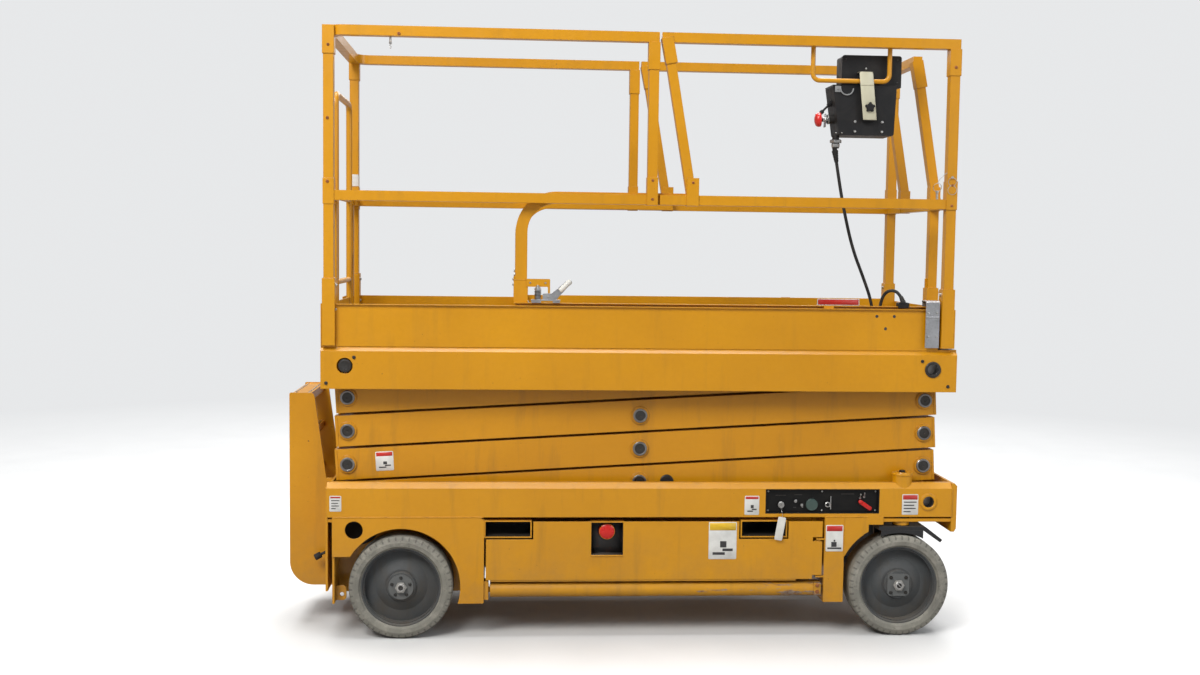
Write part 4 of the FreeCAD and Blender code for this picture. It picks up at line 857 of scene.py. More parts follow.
@dataclass
class ControlCable:
    """The black control cable between the upper box and its plug on the toe board."""

    radius: float = 0.006
    points: tuple[Point, ...] = (
        (0.781, -0.290, 1.806), (0.800, -0.284, 1.700), (0.827, -0.270, 1.585),
        (0.866, -0.252, 1.451), (0.919, -0.232, 1.336), (0.955, -0.215, 1.251),
        (0.962, -0.214, 1.186), (0.963, -0.257, 1.161), (0.962, -0.300, 1.186),
        (0.965, -0.300, 1.2445), (0.9762, -0.310, 1.286), (0.999, -0.331, 1.3005),
        (1.0224, -0.3523, 1.2888), (1.033, -0.362, 1.2585))
    length: float = 0.94

    def build(self) -> None:
        """Draw the cable, its boots and its plug's ribs."""
        curve = bpy.data.curves.new("control_cable_line", "CURVE")
        curve.dimensions = "3D"
        curve.bevel_depth = self.radius
        curve.bevel_resolution = 5
        curve.use_fill_caps = True
        spline = curve.splines.new("NURBS")
        spline.points.add(len(self.points) - 1)
        for spot, place in zip(spline.points, self.points):
            spot.co = (*place, 1.0)
        spline.order_u = 3
        spline.use_endpoint_u = True
        spline.resolution_u = 14
        curve.materials.append(Finish.GUM.get())
        cable = bpy.data.objects.new("cable_line", curve)
        bpy.context.scene.collection.objects.link(cable)
        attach(cable, "extension")
        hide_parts("control_cable")
        boots = Smith()
        start = Vector(self.points[0])
        down = (Vector(self.points[1]) - start).normalized()
        boots.turn(self.boot(0.0125, 0.0078, 0.044), tuple(start - down * 0.012), tuple(down), 20)
        end = Vector(self.points[-1])
        up = (Vector(self.points[-2]) - end).normalized()
        boots.turn(self.boot(0.0105, 0.0074, 0.026), tuple(end - up * 0.006), tuple(up), 20)
        boots.done("cable_boots", Finish.GUM, "extension")
        plug = Smith()
        x = end.x
        for z in (1.2435, 1.2475, 1.2515):
            plug.block((x - 0.0216, -0.3756, z - 0.0007), (x + 0.0216, -0.3484, z + 0.0007), 0.0004)
        plug.screw((x - 0.012, -0.375, 1.2370), (0.0, -1.0, 0.0), 0.0022)
        plug.screw((x + 0.012, -0.375, 1.2370), (0.0, -1.0, 0.0), 0.0022)
        plug.done("plug_ribs", Finish.BOX, "extension")

    @staticmethod
    def boot(big: float, small: float, length: float) -> list[Flat]:
        """Profile of a ribbed boot that tapers from big to small over length."""
        out: list[Flat] = [(big, 0.0)]
        ribs = max(3, int(length / 0.006))
        for k in range(ribs):
            t = (k + 0.5) / ribs
            r = big + (small - big) * t
            out += [(r, length * (k + 0.30) / ribs), (r - 0.0010, length * (k + 0.45) / ribs),
                    (r - 0.0010, length * (k + 0.75) / ribs), (r, length * (k + 0.90) / ribs)]
        return out + [(small, length), (small - 0.001, length)]


@dataclass
class StackFittings:
    """Pin ends, pin faces and welds of the scissor stack."""

    linkage: Linkage = field(default_factory=Linkage)
    face: float = 0.313
    arm_face: float = 0.306
    end: float = 0.036

    def build(self) -> None:
        """Fit every level."""
        for level in range(1, self.linkage.levels + 1):
            self.heads(level)
            self.welds(level)

    def heads(self, level: int) -> None:
        """Grey pin ends with dark faces that stand a little out of the yellow washers."""
        rings, face = Smith(), Smith()
        for x, z in self.linkage.heads(level):
            for side in (-1, 1):
                at, out = (x, side * self.face, z), (0.0, float(side), 0.0)
                rings.turn(((0.0268, 0.0), (0.0268, 0.0026), (0.0246, 0.0046), (0.0200, 0.0046),
                            (0.0190, 0.0030), (0.0190, 0.0010)), at, out, 44)
                face.turn(((0.0191, 0.0008), (0.0191, 0.0024), (0.0045, 0.0026),
                           (0.0030, 0.0014), (0.0, 0.0014)), at, out, 32)
        body = "outer_%d" % level
        rings.done("pin_ends_%d" % level, Finish.PIN, body)
        face.done("pin_faces_%d" % level, Finish.DARK, body)
        if level == self.linkage.levels:
            self.sliding_ends()

    def sliding_ends(self) -> None:
        """Ends of the shaft that slides under the platform, seen in its side holes."""
        top = self.linkage.pin_z + self.linkage.levels * self.linkage.pitch
        ends = Smith()
        for side in (-1, 1):
            at, out = (self.linkage.slide_x(), side * 0.3856, top), (0.0, float(side), 0.0)
            ends.turn(((0.0249, -0.002), (0.0249, 0.0010), (0.0232, 0.0020), (0.0150, 0.0020),
                       (0.0140, 0.0008), (0.0052, 0.0008), (0.0044, 0.0006), (0.0, 0.0006)),
                      at, out, 40)
        ends.done("sliding_pin_ends", Finish.DARK, "inner_4")

    def welds(self, level: int) -> None:
        """Beads where the end caps and cross tubes are welded in."""
        link = self.linkage
        outer = Smith()
        low = link.pin_z + (level - 1) * link.pitch
        tilt = math.asin(link.pitch / link.arm)
        for x, z, way, real in ((link.slide_x(), low, -1, level > 1),
                                (link.pin_x, low + link.pitch, 1, level < link.levels)):
            if not real:
                continue
            cx, cz = x + way * self.end * math.cos(tilt), z + way * self.end * math.sin(tilt)
            dx, dz = -0.055 * math.sin(tilt), 0.055 * math.cos(tilt)
            for side in (-1, 1):
                y = side * (self.arm_face + 0.0002)
                outer.bead((cx - dx, y, cz - dz), (cx + dx, y, cz + dz), 0.0017)
        for x, z in link.heads(level):
            for side in (-1, 1):
                outer.ring((x, side * (self.arm_face + 0.0008), z), (0.0, 1.0, 0.0), 0.0332,
                           0.0021, 46, 0.13)
        outer.done("outer_welds_%d" % level, Finish.ARM, "outer_%d" % level)
        inner = Smith()
        for spot in ((0.372,) if level == 1 else (0.300, 1.880)):
            x, z = link.on_inner(level, spot)
            for side in (-1, 1):
                inner.ring((x, side * 0.1985, z), (0.0, 1.0, 0.0), 0.0312, 0.0026, 46, 0.13)
        inner.done("inner_welds_%d" % level, Finish.ARM, "inner_%d" % level)


@dataclass
class WheelFittings:
    """Hub bolts, nut details and rim welds of one wheel."""

    end: str
    side: int
    axle_x: float
    axle_z: float = 0.1905
    wheel_y: float = 0.3415

    def at(self, x: float, y: float, z: float) -> Point:
        """A point from the wheel's middle, y counted outwards."""
        return (self.axle_x + x, self.side * (self.wheel_y + y), self.axle_z + z)

    def build(self) -> None:
        """Fit the wheel."""
        out = (0.0, float(self.side), 0.0)
        body = "wheel_%s_%s" % (self.end, sided(self.side))
        bolts, welds, nut = Smith(), Smith(), Smith()
        if self.end == "front":
            for sx, sz in ((1, 1), (1, -1), (-1, 1), (-1, -1)):
                bolts.bolt(self.at(0.0285 * sx, 0.049, 0.0285 * sz), out, 0.0062)
            nut.sweep([self.at(-0.0105, 0.0610, 0.0090), self.at(-0.0020, 0.0616, 0.0030),
                       self.at(0.0030, 0.0616, -0.0020), self.at(0.0105, 0.0610, -0.0080)],
                      0.0014, 8)
        else:
            for k in range(5):
                t = math.radians(90.0 + 72.0 * k)
                bolts.bolt(self.at(0.0345 * math.cos(t), 0.048, 0.0345 * math.sin(t)), out, 0.0056)
        nut.turn(((0.0150, -0.0010), (0.0150, 0.0010), (0.0138, 0.0022), (0.0098, 0.0022),
                  (0.0090, 0.0010), (0.0090, -0.0010)), self.at(0.0, 0.0600, 0.0), out, 32, True)
        middle = Smith()
        middle.turn(((0.0089, 0.0), (0.0089, 0.0006), (0.0030, 0.0006), (0.0022, 0.0002),
                     (0.0, 0.0002)), self.at(0.0, 0.0600, 0.0), out, 28)
        middle.done("axle_end_%s_%s" % (self.end, sided(self.side)), Finish.DARK, body)
        welds.ring(self.at(0.0, 0.0435, 0.0), (0.0, 1.0, 0.0), 0.1352, 0.0016, 150, 0.10)
        bolts.done("hub_bolts_%s_%s" % (self.end, sided(self.side)), Finish.DARK, body)
        nut.done("hub_nut_%s_%s" % (self.end, sided(self.side)), Finish.BRIGHT, body)
        if self.end == "front":
            self.mudguard(body)
        welds.done("rim_welds_%s_%s" % (self.end, sided(self.side)), Finish.RIM, body)


    def mudguard(self, body: str) -> None:
        """Rolled lip of the black plate over the steered wheel and its yellow collar."""
        lip = Smith()
        x0, z0 = self.axle_x, self.axle_z
        reach = 0.1978
        spots = [x0 - 0.072 + 0.0135 * k for k in range(13)]
        low = [(x, z0 + math.sqrt(reach ** 2 - (x - x0) ** 2)) for x in spots]
        high = [(low[-1][0], 0.3992), (low[0][0], 0.3992)]
        y = self.side * 0.3872
        lip.press(low + high, (0.0, y, 0.0), (1.0, 0.0, 0.0), (0.0, 0.0, 1.0),
                  0.0025 if self.side < 0 else -0.0025, 0.0006)
        steer = body.replace("wheel_front", "steer")
        lip.done("mudguard_lip_" + sided(self.side), Finish.BLACK, steer)
        collar = Smith()
        collar.turn(((0.0292, 0.0), (0.0312, 0.0008), (0.0312, 0.0135), (0.0292, 0.0145)),
                    (1.054, self.side * 0.350, 0.4150), (0.0, 0.0, 1.0), 40, True)
        collar.done("kingpin_collar_" + sided(self.side), Finish.SKIRT, steer)


@dataclass
class Decal:
    """A blank printed plate: a pale field, a coloured head and a few plain bars."""

    name: str
    body: str
    at: Point
    size: Flat
    out: Point
    head: Finish = Finish.FILM_YELLOW
    share: float = 0.28
    mark: str = "bars"
    tilt: float = 0.0
    rim: float = 0.0032

    def build(self) -> None:
        """Lay the plate, its head and its plain mark."""
        out = Vector(self.out)
        up = Vector((0.0, 0.0, 1.0))
        across = up.cross(out)
        if self.tilt:
            up = (up * math.cos(self.tilt) + across * math.sin(self.tilt)).normalized()
            across = up.cross(out)
        w, h = self.size
        place = Vector(self.at)
        tall = h * self.share
        pieces = (("", Finish.FILM, rounded(w, h, 0.004), Vector(), 0.0005),
                  ("_head", self.head, rounded(w - 2 * self.rim, tall, 0.0015),
                   up * (h / 2 - tall / 2 - self.rim) + out * 0.0004, 0.0003))
        for suffix, finish, outline, shift, thick in pieces:
            plate = Smith()
            plate.press(outline, tuple(place + shift), tuple(across), tuple(up), thick, 0.0001)
            plate.done("decal_%s%s" % (self.name, suffix), finish, self.body)
        ink = Smith()
        low, high = -h / 2 + 2 * self.rim, h / 2 - tall - 2 * self.rim
        for a, b, c, d in self.blots(w - 4 * self.rim, high - low):
            spot = place + across * ((a + c) / 2.0) + up * (low + (b + d) / 2.0) + out * 0.0004
            ink.press(rounded(c - a, d - b, 0.0006, 2), tuple(spot), tuple(across), tuple(up),
                      0.0003)
        ink.done("decal_mark_%s" % self.name, Finish.INK, self.body)

    def blots(self, w: float, h: float) -> list[tuple[float, float, float, float]]:
        """Plain rectangles for the mark, as left, low, right, high."""
        if self.mark == "bars":
            n = 4
            step = h / n
            ends = (0.5, 0.32, 0.44, 0.05)
            return [(-w / 2, h - (k + 0.70) * step, w * ends[k % 4], h - (k + 0.36) * step)
                    for k in range(n)]
        if self.mark == "block":
            return [(-w / 2, 0.04 * h, w / 2, 0.13 * h), (-0.22 * w, 0.16 * h, 0.16 * w, 0.44 * h),
                    (-0.06 * w, 0.46 * h, 0.06 * w, 0.56 * h)]
        return [(-0.40 * w, 0.10 * h, 0.10 * w, 0.20 * h), (0.0, 0.24 * h, 0.42 * w, 0.34 * h),
                (-0.10 * w, 0.38 * h, 0.16 * w, 0.62 * h)]


@dataclass
class ChassisFittings:
    """Kingpin caps, guard bolts, tray recess and button, ladder bolts, welds."""

    def build(self) -> None:
        """Fit the chassis."""
        self.kingpins()
        self.guards()
        self.recess()
        self.ladder()
        self.cylinder_pin()
        self.welds()

    def kingpins(self) -> None:
        """A dark bolt on each kingpin housing."""
        caps, pins = Smith(), Smith()
        for side in (-1, 1):
            at = (1.054, side * 0.350, 0.610)
            caps.turn(((0.0385, -0.0070), (0.0392, -0.0060), (0.0392, 0.0), (0.0375, 0.0020),
                       (0.0300, 0.0020), (0.0285, 0.0050), (0.0200, 0.0050), (0.0190, 0.0008),
                       (0.0, 0.0008)), at, (0.0, 0.0, 1.0), 48)
            pins.bolt((at[0], at[1], 0.6108), (0.0, 0.0, 1.0), 0.0130)
        caps.done("kingpin_caps", Finish.SKIRT, "chassis")
        pins.done("kingpin_bolts", Finish.DARK, "chassis")

    def guards(self) -> None:
        """The two bolts in the end block of each guard bar."""
        for side in (-1, 1):
            bolts = Smith()
            for z in (0.167, 0.191):
                bolts.bolt((0.730, side * 0.392, z), (0.0, float(side), 0.0), 0.0068)
            bolts.done("guard_bolts_" + sided(side), Finish.RUSTY, "guard_" + sided(side))

    def recess(self) -> None:
        """Black liner of the near tray's recess and its red button."""
        liner = Smith()
        x0, x1, z0, z1, y0, y1, t = -0.1219, -0.0041, 0.3091, 0.4299, -0.3905, -0.3551, 0.0008
        liner.block((x0, y1 - t, z0), (x1, y1, z1), 0.0002)
        liner.block((x0, y0, z0), (x0 + t, y1, z1), 0.0002)
        liner.block((x1 - t, y0, z0), (x1, y1, z1), 0.0002)
        liner.block((x0, y0, z0), (x1, y1, z0 + t), 0.0002)
        liner.block((x0, y0, z1 - t), (x1, y1, z1), 0.0002)
        liner.ring((-0.063, -0.3575, 0.394), (0.0, 1.0, 0.0), 0.0325, 0.0026, 40)
        liner.done("recess_liner", Finish.BLACK, "tray_near")
        lip = Smith()
        lip.block((x0 - 0.002, -0.3938, z0 - 0.0062), (x1 + 0.002, -0.3880, z0 - 0.0004), 0.0014)
        lip.done("recess_lip", Finish.SKIRT, "tray_near")
        button = Smith()
        button.turn(((0.0296, 0.0), (0.0302, 0.003), (0.0302, 0.0185), (0.0290, 0.0225),
                     (0.0240, 0.0262), (0.0120, 0.0284), (0.0, 0.0290)),
                    (-0.063, -0.3556, 0.394), (0.0, -1.0, 0.0), 44)
        button.done("lowering_button", Finish.RED, "tray_near")

    def ladder(self) -> None:
        """Bolts that hold the ladder's side plates, and bright edges on its treads."""
        bolts = Smith()
        for side in (-1, 1):
            for z in (0.22, 0.37, 0.52):
                bolts.bolt((-1.108, side * 0.191, z), (0.0, float(side), 0.0), 0.0072)
        bolts.done("ladder_bolts", Finish.BRIGHT, "chassis")
        grips = Smith()
        for z in (0.215, 0.382, 0.549, 0.716, 0.866):
            for x in (-1.2380, -1.1885):
                grips.block((x - 0.0022, -0.176, z + 0.0138), (x + 0.0022, 0.176, z + 0.0158),
                            0.0006)
        grips.done("tread_edges", Finish.BRIGHT, "chassis")

    def cylinder_pin(self) -> None:
        """Dark pin end of the lift cylinder's lug on the lowest outer arm."""
        pin = Smith()
        for side in (-1, 1):
            pin.turn(((0.0250, 0.0), (0.0250, 0.0050), (0.0225, 0.0070), (0.0120, 0.0070),
                      (0.0110, 0.0055), (0.0, 0.0055)), (0.165, side * 0.3058, 0.5705),
                     (0.0, float(side), 0.0), 40)
        pin.done("arm_pin_ends", Finish.DARK, "outer_1")

    def welds(self) -> None:
        """Beads between bumper and beams, pillars and beams, and round the bosses."""
        beads = Smith()
        for side in (-1, 1):
            y = side * 0.3902
            beads.bead((1.2355, y, 0.452), (1.2355, y, 0.556), 0.0024)
            for x in (0.7535, 0.8275):
                beads.bead((x, side * 0.3912, 0.448), (x, side * 0.3912, 0.3), 0.0016)
            beads.bead((0.756, side * 0.3908, 0.4502), (0.915, side * 0.3908, 0.4502), 0.0024)
            beads.bead((-1.066, side * 0.3908, 0.4502), (-0.52, side * 0.3908, 0.4502), 0.0024)
            beads.ring((1.145, side * 0.3912, 0.507), (0.0, 1.0, 0.0), 0.0318, 0.0020, 50, 0.12)
            beads.turn(((0.0305, -0.0020), (0.0305, 0.0006), (0.0290, 0.0022), (0.0222, 0.0022),
                        (0.0206, 0.0006), (0.0206, -0.0020)), (1.145, side * 0.3926, 0.507),
                       (0.0, float(side), 0.0), 44, True)
            beads.bead((-1.0945, side * 0.365, 0.556), (-1.0945, side * 0.365, 0.452), 0.0024)
        beads.done("chassis_welds", Finish.SKIRT, "chassis")


@dataclass
class GroundPanel:
    """Key, buttons, switches and lever of the ground controls."""

    face: float = -0.377
    x0: float = 0.527
    x1: float = 0.958
    out: Point = (0.0, -1.0, 0.0)

    def build(self) -> None:
        """Fit the panel."""
        self.key()
        self.buttons()
        self.lever()
        self.legends()

    def key(self) -> None:
        """Key switch with its key, ring and hanging tag."""
        metal, tag = Smith(), Smith()
        metal.turn(((0.0122, 0.0), (0.0122, 0.0025), (0.0108, 0.0040), (0.0080, 0.0040),
                    (0.0074, 0.0028), (0.0, 0.0028)), (0.586, -0.3872, 0.496), self.out, 32)
        metal.block((0.5848, -0.4010, 0.4915), (0.5872, -0.3895, 0.5005), 0.0004)
        metal.ring((0.586, -0.3960, 0.4845), (1.0, 0.0, 0.0), 0.0075, 0.0007, 26)
        metal.sweep([(0.586, -0.3960, 0.4770), (0.5874, -0.4005, 0.4700), (0.5885, -0.4015, 0.4620),
                     (0.5886, -0.4020, 0.4500)], 0.0009, 6)
        metal.done("panel_key", Finish.BRIGHT, "chassis")
        tag.press(rounded(0.030, 0.088, 0.005), (0.5815, -0.4018, 0.4090), (1.0, 0.02, -0.17),
                  (0.17, 0.010, 1.0), 0.0009, 0.0003)
        tag.done("key_tag", Finish.IVORY, "chassis")

    def buttons(self) -> None:
        """Round button, knob and toggles."""
        green, bright, black = Smith(), Smith(), Smith()
        green.turn(((0.0224, -0.0070), (0.0224, 0.0006), (0.0208, 0.0020), (0.0196, 0.0012),
                    (0.0120, 0.0024), (0.0, 0.0028)), (0.703, -0.3860, 0.496), self.out, 44)
        green.done("panel_button", Finish.GREEN, "chassis")
        bright.turn(((0.0104, 0.0), (0.0104, 0.0012), (0.0090, 0.0024), (0.0072, 0.0024),
                     (0.0070, 0.0006), (0.0, 0.0006)), (0.762, -0.3885, 0.497), self.out, 30)
        bright.block((0.7730, -0.3836, 0.4775), (0.7766, -0.3818, 0.5275), 0.0004)
        for x, z in ((0.8870, 0.5200), (0.9020, 0.5240)):
            bright.turn(((0.0042, 0.0), (0.0042, 0.0022), (0.0, 0.0022)), (x, -0.3770, z),
                        self.out, 6)
            bright.turn(((0.0022, 0.0), (0.0019, 0.0080), (0.0028, 0.0170), (0.0024, 0.0200),
                         (0.0, 0.0206)), (x, -0.3785, z), (0.0, -0.62, 1.0), 14)
        for x, z, lean in ((0.640, 0.510, 0.5), (0.664, 0.495, -0.4)):
            bright.turn(((0.0058, 0.0), (0.0058, 0.0030), (0.0, 0.0030)), (x, -0.3868, z),
                        self.out, 6)
            bright.turn(((0.0024, 0.0), (0.0020, 0.0060), (0.0030, 0.0115), (0.0026, 0.0135),
                         (0.0, 0.0142)), (x, -0.3885, z), (0.0, -1.0, lean), 14)
        bright.done("panel_switches", Finish.BRIGHT, "chassis")
        black.turn(((0.0064, 0.0), (0.0064, 0.0016), (0.0, 0.0018)), (0.762, -0.3891, 0.497),
                   self.out, 20)
        black.ring((0.703, -0.3772, 0.496), (0.0, 1.0, 0.0), 0.0250, 0.0014, 44)
        black.done("panel_knob", Finish.BOX, "chassis")

    def lever(self) -> None:
        """Red hand lever of the lowering valve."""
        lever = Smith()
        tilt = math.atan2(-0.030, 0.045)
        across = (math.cos(tilt), 0.0, math.sin(tilt))
        lever.press(rounded(0.0560, 0.0150, 0.0055, 5), (0.9055, -0.3768, 0.494), across,
                    (-across[2], 0.0, across[0]), 0.0115, 0.0018)
        lever.turn(((0.0068, 0.0), (0.0068, 0.0020), (0.0050, 0.0035), (0.0, 0.0035)),
                   (0.8870, -0.3876, 0.5065), self.out, 24)
        lever.done("panel_lever", Finish.RED, "chassis")

    def legends(self) -> None:
        """Blank legend strips and screws."""
        film, screws = Smith(), Smith()
        for x, z, w, h in ((0.640, 0.484, 0.012, 0.004), (0.586, 0.530, 0.040, 0.003),
                           (0.652, 0.532, 0.030, 0.003), (0.840, 0.535, 0.050, 0.003)):
            film.press(rounded(w, h, 0.001, 2), (x, self.face - 0.0001, z), (1.0, 0.0, 0.0),
                       (0.0, 0.0, 1.0), 0.0004)
        film.done("panel_legends", Finish.DARK, "chassis")
        for x in (self.x0 + 0.012, (self.x0 + self.x1) / 2.0, self.x1 - 0.012):
            for z in (0.473, 0.545):
                screws.screw((x, self.face, z), self.out, 0.0036)
        screws.done("panel_screws", Finish.BRIGHT, "chassis")


@dataclass
class RailFittings:
    """Bolts, pins, rings, tape and welds of the guard rails."""

    y: float = 0.380

    def build(self) -> None:
        """Fit fixed and sliding rails."""
        self.bolts()
        self.pins()
        self.tape()
        self.welds()

    def bolts(self) -> None:
        """Bolts through sleeves and brackets."""
        fixed, moving, rusty = Smith(), Smith(), Smith()
        dull, dull_moving = Smith(), Smith()
        for side in (-1, 1):
            y, out = side * self.y, (0.0, float(side), 0.0)
            fixed.bolt((-1.0570, y, 1.298), (1.0, 0.0, 0.0), 0.0065)
            fixed.bolt((-1.0570, y, 1.210), (1.0, 0.0, 0.0), 0.0065)
            dull.screw((-1.080, side * 0.401, 2.150), out, 0.0055)
            dull.screw((-1.083, side * 0.398, 1.893), out, 0.0060)
            dull.screw((-1.083, side * 0.400, 1.668), out, 0.0060)
            dull.screw((-0.831, side * 0.398, 2.194), out, 0.0060)
            for x, z in ((0.084, 1.690), (0.084, 1.622)):
                dull.screw((x, side * 0.402, z), out, 0.0050)
            for x, z in ((1.194, 1.690), (1.194, 1.615), (0.232, 1.684)):
                dull_moving.screw((x, side * 0.402, z), out, 0.0050)
            moving.bolt((-0.4160, side * 0.338, 1.306), (-1.0, 0.0, 0.0), 0.0062)
            moving.bolt((-0.4105, side * 0.340, 1.341), (-1.0, 0.0, 0.0), 0.0062)
            moving.bolt((-0.3640, side * 0.338, 1.240), (1.0, 0.0, 0.0), 0.0062)
            moving.bolt((1.1710, y, 1.286), (-1.0, 0.0, 0.0), 0.0065)
            dull_moving.screw((1.194, side * 0.401, 2.120), out, 0.0060)
            for x in (0.140, 0.222):
                moving.bolt((x, side * 0.3550, 1.6200), (0.0, -float(side), 0.0), 0.0060)
        rusty.bolt((1.2170, -0.190, 1.288), (1.0, 0.0, 0.0), 0.0085)
        rusty.bolt((1.1710, -0.190, 1.250), (-1.0, 0.0, 0.0), 0.0070)
        fixed.done("rail_bolts_fixed", Finish.BRIGHT, "platform")
        moving.done("rail_bolts_sliding", Finish.BRIGHT, "extension")
        rusty.done("hoop_bolts", Finish.RUSTY, "extension")
        dull.done("rail_screws_fixed", Finish.RUSTY, "platform")
        dull_moving.done("rail_screws_sliding", Finish.RUSTY, "extension")

    def pins(self) -> None:
        """Lock pins with rings at the near front bracket and the rear top rail."""
        pins = Smith()
        y = -0.4028
        pins.turn(((0.0048, 0.0), (0.0048, 0.0012), (0.0, 0.0014)), (1.193, -0.402, 1.719),
                  (0.0, -1.0, 0.0), 16)
        pins.ring((1.193, y, 1.7030), (0.0, 1.0, 0.05), 0.0150, 0.0011, 34)
        pins.ring((1.1935, y, 1.6720), (0.0, 1.0, -0.05), 0.0165, 0.0011, 34)
        pins.turn(((0.0045, 0.0), (0.0045, 0.022), (0.0062, 0.024), (0.0062, 0.032),
                   (0.0, 0.033)), (1.143, -0.386, 1.638), (0.0, 0.0, 1.0), 18)
        pins.ring((1.143, -0.386, 1.6820), (0.0, 1.0, 0.25), 0.0155, 0.0012, 34)
        pins.sweep([(1.143, -0.386, 1.6975), (1.150, -0.388, 1.712), (1.161, -0.390, 1.722),
                    (1.170, -0.391, 1.731), (1.1765, -0.391, 1.737)], 0.0009, 6)
        pins.done("lock_pins", Finish.BRIGHT, "extension")
        hung = Smith()
        hung.turn(((0.0040, 0.0), (0.0040, 0.018), (0.0055, 0.020), (0.0050, 0.026),
                   (0.0, 0.028)), (-0.862, -0.382, 2.186), (0.0, 0.0, -1.0), 16)
        hung.ring((-0.862, -0.382, 2.152), (1.0, 0.4, 0.0), 0.0085, 0.0010, 26)
        hung.done("hanging_pin", Finish.BRIGHT, "platform")

    def tape(self) -> None:
        """White tape wound round the far rear post."""
        tape = Smith()
        rings: list[list[bmesh.types.BMVert]] = []
        heights = [1.683 + 0.0055 * k for k in range(10)]
        for j, z in enumerate(heights):
            grow = 0.0186 + 0.0003 * math.sin(2.1 * j) + (0.0004 if j in (3, 7) else 0.0)
            rings.append([tape.bm.verts.new((-1.080 + a * grow / 0.018, self.y + b * grow / 0.018,
                                             z + 0.0009 * math.sin(3.0 * i + j)))
                          for i, (a, b) in enumerate(rounded(0.036, 0.036, 0.002, 2))])
        for low, high in zip(rings, rings[1:]):
            tape.skin(low, high)
        tape.bm.faces.new(rings[0])
        tape.bm.faces.new(rings[-1])
        tape.done("tape_patch", Finish.TAPE, "platform")

    @staticmethod
    def square(smith: Smith, x: float, y: float, z: float, half: Flat) -> None:
        """Bead round an upright square tube at height z."""
        a, b = half
        spots = ((x - a, y - b, z), (x + a, y - b, z), (x + a, y + b, z), (x - a, y + b, z))
        for p, q in zip(spots, spots[1:] + spots[:1]):
            smith.bead(p, q, 0.0015)

    def welds(self) -> None:
        """Beads round sleeves and at the tubes' joints."""
        fixed, moving = Smith(), Smith()
        for side in (-1, 1):
            y = side * self.y
            self.square(fixed, -1.080, y, 1.3225, (0.0185, 0.0185))
            self.square(fixed, -1.080, y, 2.1200, (0.0185, 0.0185))
            self.square(moving, 1.194, y, 1.3055, (0.0185, 0.0185))
            self.square(moving, 1.194, y, 2.0900, (0.0185, 0.0185))
            self.square(moving, -0.390, side * 0.340, 1.3225, (0.0225, 0.0150))
            for x in (-1.0595, 0.0635):
                for z in (1.6025, 1.6375):
                    fixed.bead((x, y - 0.0175, z), (x, y + 0.0175, z), 0.0015)
                fixed.bead((x, side * 0.3982, 1.6025), (x, side * 0.3982, 1.6375), 0.0015)
            for x in (1.1735, 0.2550):
                moving.bead((x, side * 0.3982, 1.6025), (x, side * 0.3982, 1.6375), 0.0015)
        self.square(moving, 1.194, -0.190, 1.3055, (0.0175, 0.0175))
        for y in (-0.240, 0.240):
            fixed.bead((-1.0920, y, 1.6015), (-1.0680, y, 1.6015), 0.0015)
        fixed.done("rail_welds_fixed", Finish.YELLOW, "platform")
        moving.done("rail_welds_sliding", Finish.YELLOW, "extension")


